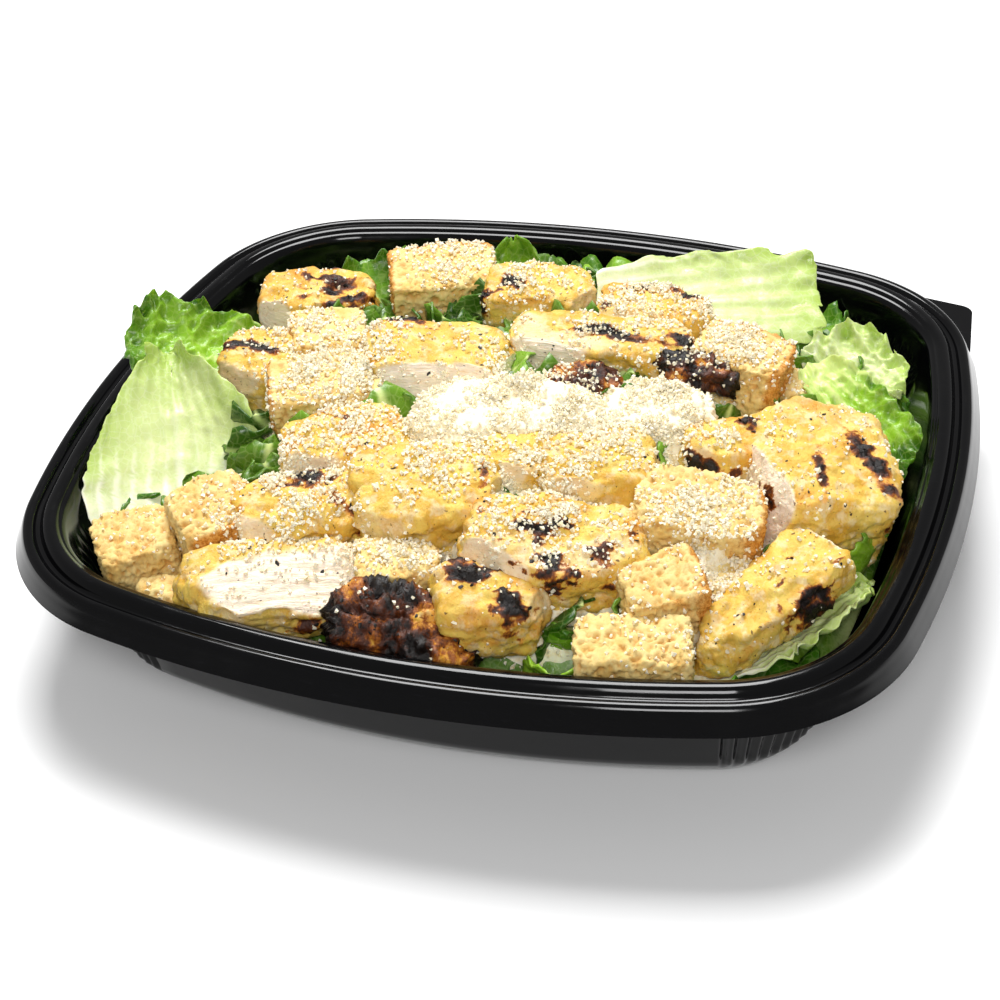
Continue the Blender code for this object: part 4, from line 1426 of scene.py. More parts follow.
SPRIGS = (
    Sprig((-46, 36, 34), (-58, 52, 52), (10, 6, 0), 20, 0.4, 2.0, 2.5, 0.5, 0.55),
    Sprig((-16, 60, 30), (-19, 66, 56), (10, 3, 0), 15, 0.3, 1.0, 1.5, 0.2, 0.3),
    Sprig((6, 56, 32), (26, 50, 50), (3, 10, 2), 20, 0.3, 1.8, 2.5, 0.6, 0.5),
    Sprig((-60, -46, 32), (-42, -30, 44), (-6, 8, 5), 22, 0.3, 2.0, 2.5, 0.6, 0.75),
    Sprig((-80, -50, 18), (-88, -52, 34), (3, 10, 0), 22, 0.3, 1.6, 2.5, 0.6, 0.8),
    Sprig((62, -78, 22), (90, -62, 29), (4, -7, 4), 16, 0.3, 1.6, 3.0, 0.6, 0.85),
    Sprig((32, -78, 24), (35, -88, 36), (10, 2, 0), 15, 0.4, 1.0, 2.0, 0.6, -0.2),
    Sprig((88, 30, 24), (95, 36, 38), (-5, 8, 0), 20, 0.3, 1.8, 2.5, 0.5, 0.6),
    Sprig((70, 38, 36), (82, 32, 44), (6, 8, 2), 18, 0.3, 1.8, 2.5, 0.5, 0.35),
    Sprig((90, -34, 24), (98, -22, 38), (3, 9, 0), 24, 0.3, 1.8, 2.5, 0.6, 0.1),
    Sprig((36, -72, 28), (40, -77, 40), (8, 4, 1), 18, 0.4, 1.6, 2.5, 0.6, 0.45),
    Sprig((66, -76, 22), (69, -84, 34), (8, 4, 0), 14, 0.4, 1.6, 2.5, 0.6, 0.5),
)


@dataclass
class LettuceBed:
    """The chopped lettuce: a core that nests under the toppings, with leaves strewn over."""

    bowl: DeliBowl
    edge_height: float = 25.0
    crown: float = 51.0
    reach: tuple[float, float] = (99.0, 92.0)
    roundness: float = 2.6
    bump: float = 2.5
    bump_width: float = 11.0
    clearance: float = 1.0
    edge_dip: float = 4.0
    rings: int = 66
    floor: float = 1.1
    scraps: float = 0.034
    scrap_size: tuple[float, float] = (0.7, 1.35)
    scrap_kinds: int = 6
    seed: int = 11
    back_seed: int = 5
    back_count: int = 8
    back_reach: float = 62.0
    back_rows: tuple[float, float] = (61.0, 73.0)
    back_half: float = 12.5
    back_jitter: float = 2.0
    back_turn: float = 0.6
    back_slope: float = 3.0
    back_widths: tuple[float, float] = (17.0, 23.0)
    back_greens: tuple[float, float] = (0.25, 0.6)

    def height(self, x: float, y: float) -> float:
        """The bed's free height at a place in millimetres."""
        out = sum((abs(v) / r) ** self.roundness for v, r in zip((x, y), self.reach))
        mound = self.edge_height + (self.crown - self.edge_height) * max(1.0 - out, 0.0)
        return mound + self.bump * noise.noise(Vector((x, y, 0.0)) / self.bump_width)

    def back_sprigs(self) -> list[Sprig]:
        """Leaves behind the toppings, half sunk in the bed's back slope."""
        draw = np.random.default_rng(self.back_seed)
        reach, jitter = self.back_reach, self.back_jitter
        turn, slope = self.back_turn, self.back_slope
        sprigs = []
        for index, x in enumerate(np.linspace(-reach, reach, self.back_count)):
            y = self.back_rows[index % 2] + draw.uniform(-jitter, jitter)
            angle = draw.uniform(-turn, turn)
            along = self.back_half * np.array([math.cos(angle), math.sin(angle)])
            height = self.height(x, y)
            base = (x - along[0], y - along[1], height - slope)
            tip = (x + along[0], y + along[1], height + slope)
            across = (-along[1], along[0], -slope)
            width, green = draw.uniform(*self.back_widths), self.back_greens[index % 2]
            sprigs.append(Sprig(base, tip, across, width, 0.4, 2.2, 3.0, 0.6, green))
        return sprigs

    def sprigs(self, finish: Material) -> Object:
        """The small leaves that stand out of the bed, as one piece of thin sheets.

        Args:
            finish: The lettuce's material.

        Returns:
            The piece.
        """
        points, faces, greens, ribs, first = [], [], [], [], 0
        for number, sprig in enumerate([*SPRIGS, *self.back_sprigs()]):
            own, corners, green, rib = sprig.sheet(43 + number)
            points.append(own)
            faces += [[first + corner for corner in face] for face in corners]
            greens.append(green)
            ribs.append(rib)
            first += len(own)
        placed = self.bowl.keep_inside(np.concatenate(points), WALL_GAP, WALL_TOP)
        piece = link_mesh("lettuce_sprigs", mesh_from("lettuce_sprigs", placed, faces))
        put_number(piece.data, "green", np.concatenate(greens))
        put_number(piece.data, "rib", np.concatenate(ribs))
        sheet = piece.modifiers.new("sheet", "SOLIDIFY")
        sheet.thickness = SHEET_MM * MM
        sheet.offset = 0.0
        bake(piece)
        coat(piece.data, finish)
        return piece

    def core(self, finish: Material, toppings: BVHTree) -> Object:
        """The core: rings that follow the bowl, each point just under what lies above it.

        Args:
            finish: The lettuce's material.
            toppings: The solids that lie on the bed.

        Returns:
            The core.
        """
        edge = self.bowl.outline()[::2]
        count = len(edge)
        inset = self.bowl.wall_inset(self.edge_height) + 2.4
        middle = [(p - o * inset) for p, o, _ in edge]
        shrinks = np.linspace(1.0, 0.02, self.rings)
        points = np.array([(*(m * s), 0.0) for s in shrinks for m in middle] + [(0.0, 0.0, 0.0)])
        points[:, 2] = [self.height(x, y) for x, y, _ in points]
        depths = self.bowl.depth(points)[0]
        points[:, 2] -= self.edge_dip * smooth_step(depths, 34.0, 20.0)
        for point in points:
            foot = Vector((point[0] * MM, point[1] * MM, 0.0))
            hit = toppings.ray_cast(foot, Vector((0, 0, 1)))[0]
            if hit is not None:
                point[2] = min(point[2], hit.z / MM - self.clearance)
        fold = rough_noise(points * (1, 1, 0.3), 5.0, self.seed + 5, 3)
        points[:, 2] = np.maximum(points[:, 2] - 0.8 + 1.6 * fold, self.floor + 2)
        for i, (place, out, _) in enumerate(edge):
            points[i, :2] = place - out * (self.bowl.wall_inset(points[i, 2]) + 2.4)
        faces = []
        for ring in range(self.rings - 1):
            for i in range(count):
                a, b = ring * count + i, ring * count + (i + 1) % count
                faces.append((a, b, b + count, a + count))
        last, first = len(points) - 1, (self.rings - 1) * count
        faces += [(first + i, first + (i + 1) % count, last) for i in range(count)]
        lower = len(points)
        skirt = []
        for i, (place, out, _) in enumerate(edge):
            skirt.append((*(place - out * (self.bowl.wall_inset(self.floor) + 9.5)), self.floor))
            j = (i + 1) % count
            faces.append((lower + i, lower + j, j, i))
        faces.append(tuple(range(lower + count - 1, lower - 1, -1)))
        points = np.concatenate([points, skirt])
        core = link_mesh("lettuce_core", mesh_from("lettuce_core", points, faces))
        green = 0.62 + 0.5 * rough_noise(points, 8.0, self.seed + 8, 3)
        put_number(core.data, "green", np.clip(green, 0, 1))
        pale = np.clip(rough_noise(points, 12.0, self.seed + 9, 2) - 0.3, 0, 1)
        put_number(core.data, "rib", pale)
        coat(core.data, finish)
        return core

    def scrap(self, number: int) -> Object:
        """One chopped, crumpled scrap of leaf, about 15 mm across, as a thin closed sheet.

        Args:
            number: Which of the kinds of scrap.

        Returns:
            The scrap, to be strewn.
        """
        builder = bmesh.new()
        bmesh.ops.create_grid(builder, x_segments=9, y_segments=6, size=1.0)
        points = np.array([vert.co[:] for vert in builder.verts])
        u, v = points[:, 0].copy(), points[:, 1].copy()
        flat = np.stack([u, v, np.full(len(u), number * 3.7)], 1)
        round_off = 1 - 0.45 * np.abs(u) ** 3
        ragged = 1 + 0.22 * rough_noise(flat, 0.9, number, 2)
        points[:, 0] = u * 8.5 * ragged
        points[:, 1] = v * 6.0 * round_off * ragged
        crumple = 2.6 * rough_noise(flat, 1.0, number + 4, 3) + 1.5 * v * v + 0.8 * np.sin(u * 4)
        points[:, 2] = crumple + 1.0 * np.sin(u * 9 + number) * v**4
        for vert, point in zip(builder.verts, points):
            vert.co = Vector(point) * MM
        mesh = bpy.data.meshes.new("scrap")
        builder.to_mesh(mesh)
        builder.free()
        put_number(mesh, "rib", smooth_step(np.abs(v), 0.22, 0.02) * 0.9)
        put_number(mesh, "shade", 0.3 * np.abs(v) + 0.15 * rough_noise(flat, 0.6, number + 8, 2))
        thing = link_mesh(f"scrap_{number}", mesh)
        sheet = thing.modifiers.new("sheet", "SOLIDIFY")
        sheet.thickness = SHEET_MM * MM
        bake(thing)
        shade_smooth(thing.data)
        return thing

    def strewn(self, core: Object, finish: Material, toppings: BVHTree) -> Object:
        """The scraps that lie over the core, fewer where toppings hide them.

        Args:
            core: The finished core.
            finish: The lettuce's material.
            toppings: The solids that lie on the bed.

        Returns:
            One piece with every scrap.
        """
        points = places(core.data)
        upward = smooth_step(normals(core.data)[:, 2], 0.3, 0.6)
        clear = smooth_step(self.bowl.depth(points)[0], 26.0, 36.0)
        covered = np.array([
            toppings.ray_cast(Vector(point) * MM, Vector((0, 0, 1)))[0] is not None
            for point in points
        ])
        emitter = link_mesh("bed", core.data.copy())
        put_number(emitter.data, "strewing", upward * clear * np.where(covered, 0.12, 1.0))
        kinds = [self.scrap(number) for number in range(self.scrap_kinds)]
        sprinkle = Sprinkle(
            "lettuce_scraps", self.scraps, self.scrap_size, 0.35, 0.0, -0.4, self.seed
        )
        scraps = sprinkle.over(emitter, kinds, finish)
        put_places(scraps.data, self.bowl.keep_inside(places(scraps.data), WALL_GAP, WALL_TOP))
        own, shade = numbers_of(scraps.data, "own"), numbers_of(scraps.data, "shade")
        put_number(scraps.data, "green", np.clip(0.25 + 0.6 * own + shade, 0, 1))
        return scraps


# --- Small things that are sprinkled ---------------------------------------------------------


@dataclass(frozen=True)
class Sprinkle:
    """Small things sprinkled over a surface: how densely, sizes, tilt and heaping."""

    name: str
    count: float
    sizes: tuple[float, float]
    tilt: float
    heaping: float
    lift: float
    seed: int

    def tree(self, kinds: list[Object], finish: Material) -> NodeTree:
        """The node tree that places the things.

        Args:
            kinds: The things, one of which is picked for each place.
            finish: Their material.

        Returns:
            The tree.
        """
        tree = bpy.data.node_groups.new(self.name, "GeometryNodeTree")
        face = tree.interface
        face.new_socket("Surface", in_out="INPUT", socket_type="NodeSocketGeometry")
        for label in ("Count", "Smallest", "Largest", "Tilt", "Heaping", "Lift"):
            face.new_socket(label, in_out="INPUT", socket_type="NodeSocketFloat")
        face.new_socket("Things", in_out="OUTPUT", socket_type="NodeSocketGeometry")
        given = add_node(tree, "NodeGroupInput").outputs
        wanted = add_node(
            tree, "GeometryNodeInputNamedAttribute", {"Name": "strewing"}, data_type="FLOAT"
        ).outputs["Attribute"]
        density = maths(tree, "MULTIPLY", wanted, given["Count"])
        spread = add_node(
            tree,
            "GeometryNodeDistributePointsOnFaces",
            {"Mesh": given["Surface"], "Density": density, "Seed": self.seed},
            distribute_method="RANDOM",
        )

        def draw(low: object, high: object, step: int) -> NodeSocket:
            """A random number for each place.

            Args:
                low: The lowest value, a number or a socket.
                high: The highest value.
                step: What is added to the sprinkle's seed.

            Returns:
                The number's socket.
            """
            given_range = {2: low, 3: high, "Seed": self.seed + step}
            kind = "FunctionNodeRandomValue"
            return add_node(tree, kind, given_range, data_type="FLOAT").outputs[1]

        half = {"Min": (-1.0, -1.0, 0.0), "Max": (1.0, 1.0, 1.0), "Seed": self.seed + 1}
        random = add_node(
            tree, "FunctionNodeRandomValue", half, data_type="FLOAT_VECTOR"
        ).outputs[0]
        tilt = add_node(
            tree,
            "ShaderNodeVectorMath",
            {0: random, 1: (math.pi, math.pi, math.tau)},
            operation="MULTIPLY",
        ).outputs[0]
        flatter = add_node(
            tree, "ShaderNodeCombineXYZ", {0: given["Tilt"], 1: given["Tilt"], 2: 1.0}
        )
        turned = add_node(
            tree, "ShaderNodeVectorMath", {0: tilt, 1: flatter.outputs[0]}, operation="MULTIPLY"
        ).outputs[0]
        spin = add_node(
            tree,
            "FunctionNodeRotateRotation",
            {"Rotation": spread.outputs["Rotation"], "Rotate By": turned},
            rotation_space="LOCAL",
        ).outputs[0]
        size = draw(given["Smallest"], given["Largest"], 2)
        chance = draw(0.0, 1.0, 3)
        heap = maths(tree, "MULTIPLY", chance, wanted)
        heap = maths(tree, "MULTIPLY_ADD", heap, given["Heaping"], given["Lift"])
        rise = add_node(
            tree,
            "ShaderNodeVectorMath",
            {0: spread.outputs["Normal"], "Scale": heap},
            operation="SCALE",
        ).outputs[0]
        moved = add_node(
            tree, "GeometryNodeSetPosition", {"Geometry": spread.outputs["Points"], "Offset": rise}
        )
        pick = add_node(tree, "GeometryNodeJoinGeometry")
        for kind in reversed(kinds):
            info = add_node(tree, "GeometryNodeObjectInfo", {"Object": kind, "As Instance": True})
            tree.links.new(info.outputs["Geometry"], pick.inputs[0])
        placed = add_node(
            tree,
            "GeometryNodeInstanceOnPoints",
            {
                "Points": moved.outputs[0], "Instance": pick.outputs[0], "Pick Instance": True,
                "Rotation": spin, "Scale": size,
            },
        )
        own = draw(0.0, 1.0, 4)
        stored = add_node(
            tree,
            "GeometryNodeStoreNamedAttribute",
            {"Geometry": placed.outputs[0], "Name": "own", "Value": own},
            data_type="FLOAT",
            domain="INSTANCE",
        )
        real = add_node(tree, "GeometryNodeRealizeInstances", {"Geometry": stored.outputs[0]})
        dressed = add_node(
            tree, "GeometryNodeSetMaterial", {"Geometry": real.outputs[0], "Material": finish}
        )
        add_node(tree, "NodeGroupOutput", {0: dressed.outputs[0]})
        return tree

    def over(self, emitter: Object, kinds: list[Object], finish: Material) -> Object:
        """Sprinkle the things over a surface, and use the surface and the kinds up.

        Args:
            emitter: The surface, which holds the number "strewing" at each point.
            kinds: The things, one of which is picked for each place.
            finish: Their material.

        Returns:
            One piece with everything that was sprinkled.
        """
        tree = self.tree(kinds, finish)
        modifier = emitter.modifiers.new("sprinkle", "NODES")
        modifier.node_group = tree
        values = {
            "Count": self.count / MM**2, "Smallest": self.sizes[0], "Largest": self.sizes[1],
            "Tilt": self.tilt, "Heaping": self.heaping * MM, "Lift": self.lift * MM,
        }
        for item in tree.interface.items_tree:
            if item.name in values and item.in_out == "INPUT":
                modifier[item.identifier] = values[item.name]
        depsgraph = bpy.context.evaluated_depsgraph_get()
        mesh = bpy.data.meshes.new_from_object(emitter.evaluated_get(depsgraph))
        piece = link_mesh(self.name, mesh)
        for used in [emitter, *kinds]:
            bpy.data.objects.remove(used)
        return piece


def crumb(name: str, size: Triple, seed: int, sides: int = 0) -> Object:
    """An uneven crumb with a few faces.

    Args:
        name: The crumb's name.
        size: Its length, width and height in millimetres.
        seed: The crumb's own seed.
        sides: 0 for a round one with twenty faces, or the sides of a chip.

    Returns:
        The crumb, to be sprinkled.
    """
    builder = bmesh.new()
    if sides:
        bmesh.ops.create_cone(
            builder, cap_ends=True, segments=sides, radius1=0.5, radius2=0.34, depth=0.9
        )
    else:
        bmesh.ops.create_icosphere(builder, subdivisions=1, radius=0.5)
    draw = np.random.default_rng(seed)
    for vert in builder.verts:
        vert.co = Vector([c * s * MM * draw.uniform(0.65, 1.3) for c, s in zip(vert.co, size)])
    bmesh.ops.triangulate(builder, faces=builder.faces)
    mesh = bpy.data.meshes.new(name)
    builder.to_mesh(mesh)
    builder.free()
    return link_mesh(name, mesh)


@dataclass(frozen=True)
class Dusting:
    """A patch of grated cheese seen from above: its middle, its reach and how thick it lies."""

    x: float
    y: float
    reach: float
    amount: float


DUSTINGS = (
    Dusting(-5, -24, 17, 1.0), Dusting(14, -20, 19, 1.0), Dusting(38, -12, 18, 1.0),
    Dusting(2, -8, 14, 0.8), Dusting(-40, -14, 17, 0.8), Dusting(-54, 4, 14, 0.7),
    Dusting(25, 8, 14, 0.35), Dusting(28, 34, 16, 0.6), Dusting(54, 17, 12, 0.6),
    Dusting(-30, 42, 13, 0.45), Dusting(-31, -38, 15, 0.5), Dusting(-37, -60, 16, 0.7),
    Dusting(2, -46, 14, 0.8), Dusting(12, -36, 14, 0.8), Dusting(32, -34, 15, 0.7),
    Dusting(24, -54, 16, 0.7), Dusting(-9, -68, 13, 0.6), Dusting(55, -40, 15, 0.6),
    Dusting(56, -16, 12, 0.55), Dusting(-4, 34, 13, 0.35), Dusting(62, -52, 10, 0.7),
)


@dataclass
class GratedCheese:
    """The grated cheese: grains, chips and splinters, thick in the middle, thin towards the rim."""

    background: float = 0.04
    count: float = 3.3
    sizes: tuple[float, float] = (0.4, 1.35)
    heaping: float = 1.6
    seed: int = 40

    def cover(self, points: np.ndarray) -> np.ndarray:
        """How thick the cheese lies on average at places in millimetres, from 0 to 1."""
        total = np.full(len(points), self.background)
        for patch in DUSTINGS:
            away = np.hypot(points[:, 0] - patch.x, points[:, 1] - patch.y) / patch.reach
            total = np.maximum(total, patch.amount * np.exp(-1.1 * away**2.4))
        return total

    def thickness(self, points: np.ndarray) -> np.ndarray:
        """How thick the cheese lies at places in millimetres, with its clumps."""
        clump = rough_noise(points, 7.0, self.seed, 3)
        return self.cover(points) * np.clip(0.7 + 1.3 * clump, 0.0, 1.7)

    def surface(self, pieces: list[tuple[Object, float]]) -> tuple[
        np.ndarray, np.ndarray, np.ndarray
    ]:
        """Gather the upper faces of some pieces.

        Args:
            pieces: Each piece with how well cheese holds on it.

        Returns:
            The points, the faces' corner numbers and the thickness at each point.
        """
        points, faces, amounts, first = [], [], [], 0
        for piece, hold in pieces:
            mesh = piece.data
            mesh.calc_loop_triangles()
            corners = np.empty(len(mesh.loop_triangles) * 3, np.int32)
            mesh.loop_triangles.foreach_get("vertices", corners)
            corners = corners.reshape(-1, 3)
            own, out = places(mesh), normals(mesh)
            amount = self.thickness(own) * hold * smooth_step(out[:, 2], -0.25, 0.55)
            upward = (out[corners, 2].mean(1) > -0.2) & (own[corners, 2].mean(1) > 26.0)
            points.append(own)
            faces.append(corners[upward] + first)
            amounts.append(amount)
            first += len(own)
        return np.concatenate(points), np.concatenate(faces), np.concatenate(amounts)

    def kinds(self) -> list[Object]:
        """The grains, chips and splinters."""
        grains = [crumb("grain", (1.05, 0.85, 0.7), 50)]
        grains += [crumb(f"chip_{i}", (1.2, 0.95, 0.65), 60 + i, 4) for i in range(3)]
        return grains + [crumb(f"splinter_{i}", (1.35, 0.9, 0.6), 70 + i, 3) for i in range(3)]

    def build(
        self, pieces: list[tuple[Object, float]], finish: Material, parts: int
    ) -> list[Object]:
        """Sprinkle the cheese over the pieces, in a few parts from left to right.

        Args:
            pieces: Each piece with how well cheese holds on it.
            finish: The cheese's material.
            parts: How many parts it is made in.

        Returns:
            The parts.
        """
        points, faces, amounts = self.surface(pieces)
        corners = points[faces]
        area = np.linalg.norm(
            np.cross(corners[:, 1] - corners[:, 0], corners[:, 2] - corners[:, 0]), axis=1
        )
        weight = area * amounts[faces].mean(1)
        across = corners[:, :, 0].mean(1)
        order = across.argsort()
        shares = weight[order].cumsum() / weight.sum()
        made = []
        for part in range(parts):
            chosen = order[(shares > part / parts) & (shares <= (part + 1) / parts)]
            used, numbers = np.unique(faces[chosen], return_inverse=True)
            mesh = mesh_from("emitter", points[used], numbers.reshape(-1, 3).tolist())
            put_number(mesh, "strewing", amounts[used])
            sprinkle = Sprinkle(
                f"grated_cheese_{part}", self.count, self.sizes, 1.0, self.heaping, 0.15,
                self.seed + part,
            )
            made.append(sprinkle.over(link_mesh("emitter", mesh), self.kinds(), finish))
        return made


@dataclass
class BurntFlakes:
    """Burnt flakes and cracked pepper on the chicken: thickest where it is charred."""

    count: float = 0.16
    sizes: tuple[float, float] = (0.35, 1.3)
    background: float = 0.06
    flake_size: Triple = (1.3, 0.9, 0.35)
    pepper_size: Triple = (0.5, 0.45, 0.4)
    seed: int = 90

    def build(self, chicken: list[Object], finish: Material) -> Object:
        """Sprinkle the flakes over the chicken.

        Args:
            chicken: The finished pieces of chicken.
            finish: The flakes' material.

        Returns:
            One piece with every flake.
        """
        points, faces, amounts, first = [], [], [], 0
        for piece in chicken:
            mesh = piece.data
            own, out = places(mesh), normals(mesh)
            char = numbers_of(mesh, "char")
            top = smooth_step(out[:, 2], -0.1, 0.5)
            amounts.append(top * (self.background + 0.9 * smooth_step(char, 0.05, 0.6)))
            faces += [[first + corner for corner in face.vertices] for face in mesh.polygons]
            points.append(own)
            first += len(own)
        mesh = mesh_from("emitter", np.concatenate(points), faces)
        put_number(mesh, "strewing", np.concatenate(amounts))
        kinds = [crumb(f"flake_{i}", self.flake_size, 80 + i) for i in range(3)]
        kinds += [crumb("peppercorn", self.pepper_size, 85, 4)]
        ways = {"tilt": 0.15, "heaping": 0.3, "lift": 0.05, "seed": self.seed}
        sprinkle = Sprinkle("burnt_flakes", self.count, self.sizes, **ways)
        return sprinkle.over(link_mesh("emitter", mesh), kinds, finish)


@dataclass
class CheeseDrift:
    """The cheese that fills the gaps between the toppings: a slab that sinks elsewhere."""

    low: tuple[float, float] = (-68.0, -84.0)
    high: tuple[float, float] = (76.0, 56.0)
    pitch: float = 1.2
    closing: float = 7.0
    sink: float = 1.6
    thin_sink: float = 9.0
    border: float = 10.0
    border_sink: float = 20.0
    lump: float = 1.2
    lump_mm: float = 5.0
    lowest: float = 14.0
    under_bed: float = 2.0
    wall_gap: float = 4.0
    wall_top: float = 60.0
    thickness: float = 2.5

    def spread(self, grid: np.ndarray, highest: bool) -> np.ndarray:
        """The highest or the lowest value within the closing's reach of each place.

        Args:
            grid: Heights as (rows, columns).
            highest: Whether to take the highest.

        Returns:
            The new heights.
        """
        reach = int(self.closing / self.pitch)
        edge = np.pad(grid, reach, mode="edge")
        result = grid.copy()
        pick = np.maximum if highest else np.minimum
        for dy, dx in np.ndindex(2 * reach + 1, 2 * reach + 1):
            if math.hypot(dx - reach, dy - reach) <= reach + 0.5:
                result = pick(result, edge[dy : dy + grid.shape[0], dx : dx + grid.shape[1]])
        return result

    def build(
        self, finish: Material, toppings: BVHTree, bed: LettuceBed, cheese: GratedCheese
    ) -> Object:
        """Lay the slab between the toppings.

        Args:
            finish: The cheese's material.
            toppings: The solids that lie on the bed.
            bed: The bed, for its height where nothing lies on it.
            cheese: Where the cheese lies and how thick.

        Returns:
            The slab.
        """
        across = np.arange(self.low[0], self.high[0], self.pitch)
        along = np.arange(self.low[1], self.high[1], self.pitch)
        x, y = np.meshgrid(across, along)
        tops = np.empty(x.shape)
        for index in np.ndindex(x.shape):
            start = Vector((x[index] * MM, y[index] * MM, 0.2))
            hit = toppings.ray_cast(start, Vector((0, 0, -1)))[0]
            free = bed.height(x[index], y[index]) - self.under_bed
            tops[index] = hit.z / MM if hit is not None else free
        filled = self.spread(self.spread(tops, True), False)
        flat = np.stack([x.ravel(), y.ravel(), np.zeros(x.size)], 1)
        share = np.clip(cheese.cover(flat), 0, 1).reshape(x.shape)
        border = np.minimum.reduce(
            [x - self.low[0], self.high[0] - x, y - self.low[1], self.high[1] - y]
        )
        sunk = self.sink + self.thin_sink * smooth_step(share, 0.75, 0.25)
        sunk += self.border_sink * smooth_step(border, self.border, 0.0)
        lumps = self.lump * rough_noise(flat, self.lump_mm, 31, 3).reshape(x.shape)
        height = np.maximum(filled - sunk + lumps, self.lowest)
        points = np.stack([x.ravel(), y.ravel(), height.ravel()], 1)
        points = settled(bed.bowl.keep_inside(points, self.wall_gap, self.wall_top))
        columns = x.shape[1]
        numbers = np.arange(x.size).reshape(x.shape)
        a = numbers[:-1, :-1].ravel()
        faces = np.stack([a, a + 1, a + columns + 1, a + columns], 1).tolist()
        drift = link_mesh("grated_cheese_drift", mesh_from("grated_cheese_drift", points, faces))
        slab = drift.modifiers.new("slab", "SOLIDIFY")
        slab.thickness = self.thickness * MM
        slab.offset = -1.0
        bake(drift)
        coat(drift.data, finish)
        return drift


@dataclass
class CheeseMound:
    """A mound of grated cheese: its solid's form with relief as coarse as the grains."""

    node: str
    pitch: float = 0.6
    grain_mm: float = 2.0

    def build(self, finish: Material, seed: int) -> Object:
        """Carve the mound's surface.

        Args:
            finish: The cheese's material.
            seed: The mound's own seed.

        Returns:
            The mound.
        """
        mound = dense_copy(FRAME_NODES[self.node], f"grated_{self.node}", self.pitch, 2)
        points = places(mound.data)
        distance = cell_noise(points, self.grain_mm, seed)[0]
        lump = rough_noise(points, 7.0, seed + 3, 3)
        rise = 0.3 + 1.9 * lump + 1.1 * smooth_step(distance, 0.7, 0.1)
        put_places(mound.data, settled(points + normals(mound.data) * rise[:, None]))
        coat(mound.data, finish)
        return mound


# --- The studio ------------------------------------------------------------------------------


@dataclass
class Studio:
    """A white floor, soft lights and the camera."""

    azimuth: float = 18.31
    elevation: float = 35.95
    roll: float = -3.02
    distance: float = 0.5196
    focal: float = 74.61
    target: Triple = (0.00145, -0.0196, 0.030)
    lights: tuple[tuple[str, Triple, float, float], ...] = (
        ("key", (-0.16, 0.42, 0.98), 0.55, 15.5),
        ("fill", (0.25, -0.80, 0.75), 0.35, 5.5),
    )
    sky_strength: float = 0.24
    floor_mm: float = 3000.0

    def camera(self) -> None:
        """Set the camera where the photograph was taken from."""
        turn, rise, roll = (math.radians(a) for a in (self.azimuth, self.elevation, self.roll))
        back = Vector(
            (math.sin(turn) * math.cos(rise), -math.cos(turn) * math.cos(rise), math.sin(rise))
        )
        right = (-back).cross(Vector((0, 0, 1))).normalized()
        up = right.cross(-back)
        side = right * math.cos(roll) + up * math.sin(roll)
        top = up * math.cos(roll) - right * math.sin(roll)
        data = bpy.data.cameras.new("camera")
        data.sensor_width = 36.0
        data.lens = self.focal
        data.clip_start = 0.01
        camera = bpy.data.objects.new("camera", data)
        place = Matrix((side, top, back)).transposed().to_4x4()
        place.translation = Vector(self.target) + back * self.distance
        camera.matrix_world = place
        bpy.context.scene.collection.objects.link(camera)
        bpy.context.scene.camera = camera

    def softbox(self, name: str, place: Triple, size: float, power: float) -> None:
        """Add a square area light that faces the bowl.

        Args:
            name: The light's name.
            place: Where it stands, in metres.
            size: Its side in metres.
            power: Its power in watts.
        """
        data = bpy.data.lights.new(name, "AREA")
        data.size = size
        data.energy = power
        light = bpy.data.objects.new(name, data)
        light.location = place
        aim = Vector((0.0, 0.0, 0.03)) - Vector(place)
        light.rotation_euler = aim.to_track_quat("-Z", "Y").to_euler()
        bpy.context.scene.collection.objects.link(light)

    def build(self, finish: Material) -> None:
        """Lay the floor, hang the lights and set the camera.

        Args:
            finish: The floor's material.
        """
        corners = self.floor_mm * np.array([(-1, -1, 0), (1, -1, 0), (1, 1, 0), (-1, 1, 0)])
        floor = link_mesh("floor", mesh_from("floor", corners, [(0, 1, 2, 3)]))
        floor.data.materials.append(finish)
        for light in self.lights:
            self.softbox(*light)
        world = bpy.data.worlds.new("studio")
        world.use_nodes = True
        sky = world.node_tree.nodes["Background"]
        sky.inputs["Color"].default_value = linear("#FFFFFF")
        sky.inputs["Strength"].default_value = self.sky_strength
        bpy.context.scene.world = world
        bpy.context.scene.view_settings.view_transform = "Standard"
        self.camera()


# --- Putting it together ---------------------------------------------------------------------

FRAME_NODES: dict[str, Object] = {}
CHARRED = ("chicken_07", "chicken_08", "chicken_16")
MEAT_PITCH, BREAD_PITCH = 0.6, 0.5  # the grids' pitches in millimetres
LEAF_SEED, BREAD_SEED, MOUND_SEED = 600, 3000, 5000
CHARRED_HOLD, MOUND_HOLD, BED_HOLD, DRIFT_HOLD = 0.35, 1.4, 0.9, 1.2  # how well cheese holds
CHEESE_PARTS = 7


def toppings_tree() -> BVHTree:
    """All solids that lie on the lettuce, as one search tree."""
    points, faces = [], []
    for name, node in FRAME_NODES.items():
        if name in ("bowl", "lettuce_heap"):
            continue
        first = len(points)
        points += [vert.co.copy() for vert in node.data.vertices]
        faces += [[first + corner for corner in face.vertices] for face in node.data.polygons]
    return BVHTree.FromPolygons(points, faces)


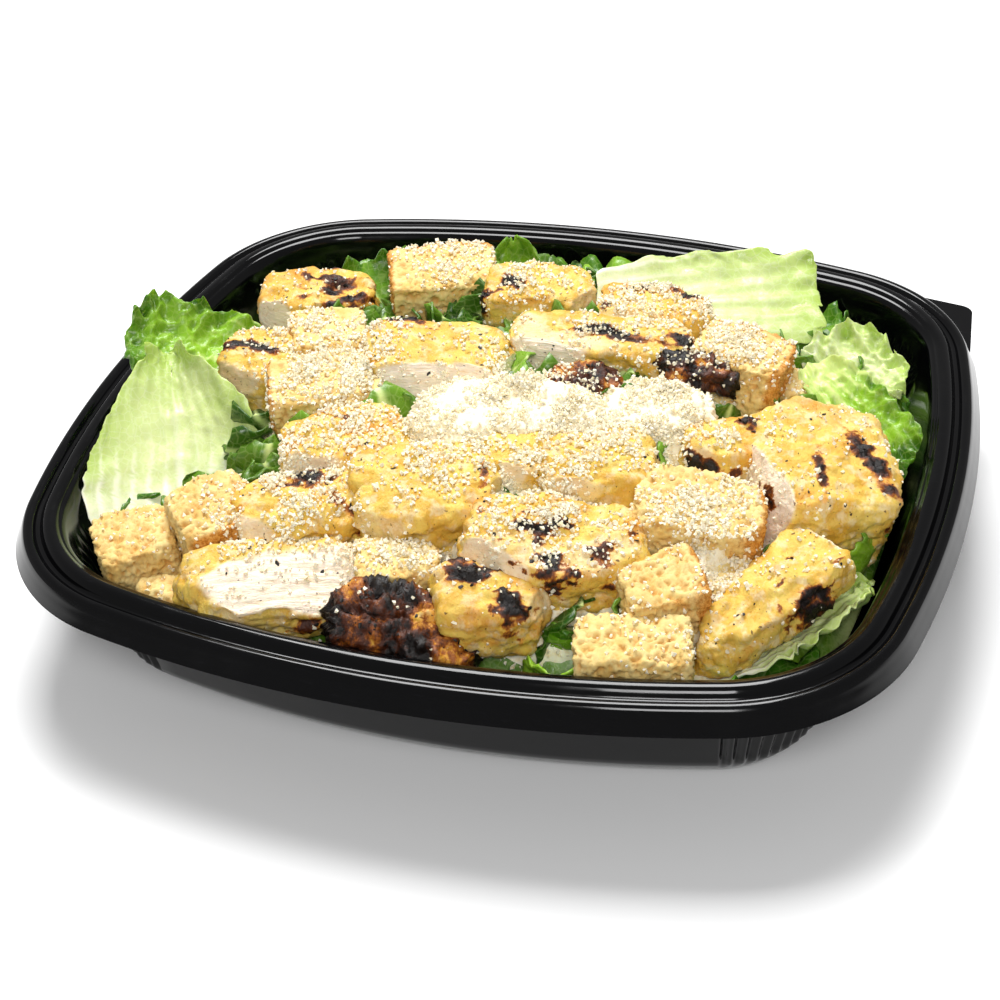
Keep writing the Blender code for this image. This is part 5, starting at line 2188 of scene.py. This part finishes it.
def main() -> None:
    """Build every piece of the salad and the studio round it."""
    logging.basicConfig(level=logging.INFO, format="%(message)s")
    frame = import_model()
    FRAME_NODES.update(frame["nodes"])
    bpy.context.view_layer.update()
    bowl = DeliBowl()
    serve(bowl.build(MouldedPlastic().material()), "black_plastic", "bowl")

    pale = FreshLeaf("lettuce_leaf_pale", "#EFF2D8", "#D6DFA2", "#A9C458").material()
    bright = FreshLeaf("lettuce_leaf_bright", "#CFE08A", "#8DBB2C", "#3A6B0E", 2.0, 0.18).material()
    chopped = FreshLeaf("lettuce_chopped", "#CBDB8E", "#7CA82C", "#274E0D", 2.4, 0.15).material()
    greens = {Green.PALE: (pale, "pale_lettuce"), Green.BRIGHT: (bright, "green_lettuce")}

    meat, bread = GrilledMeat().material(), ToastedBread().material()
    cheese = HardCheese().material()
    cheesed: list[tuple[Object, float]] = []
    for number, chicken in enumerate(CHICKEN):
        piece = chicken.build(meat, 100 * (number + 1), MEAT_PITCH)
        slot = "charred_chicken" if chicken.node in CHARRED else "grilled_chicken"
        serve(piece, slot, chicken.node)
        cheesed.append((piece, CHARRED_HOLD if chicken.node in CHARRED else 1.0))
    for number, crouton in enumerate(CROUTONS):
        piece = crouton.build(bread, BREAD_SEED + 100 * number, BREAD_PITCH)
        serve(piece, "toasted_bread", crouton.node)
        cheesed.append((piece, 1.0))
    for number in range(1, 4):
        mound = CheeseMound(f"cheese_heap_{number}").build(cheese, MOUND_SEED + 10 * number)
        serve(mound, "grated_cheese", f"cheese_heap_{number}")
        cheesed.append((mound, MOUND_HOLD))
    for number, leaf in enumerate(LEAVES):
        finish, slot = greens[leaf.green]
        serve(leaf.build(finish, LEAF_SEED + number), slot, leaf.node)

    bed, grated, toppings = LettuceBed(bowl), GratedCheese(), toppings_tree()
    core = bed.core(chopped, toppings)
    serve(core, "green_lettuce", "lettuce_heap")
    serve(bed.strewn(core, chopped, toppings), "green_lettuce")
    serve(bed.sprigs(bright), "green_lettuce")
    drift = CheeseDrift().build(cheese, toppings, bed, grated)
    serve(drift, "grated_cheese")
    cheesed += [(core, BED_HOLD), (drift, DRIFT_HOLD)]
    chicken = [piece for piece, _ in cheesed[: len(CHICKEN)]]
    serve(BurntFlakes().build(chicken, BlackPepper().material()), "charred_chicken")
    for part in grated.build(cheesed, cheese, CHEESE_PARTS):
        serve(part, "grated_cheese")
    Studio().build(WhiteBoard().material())


if __name__ == "__main__":
    main()
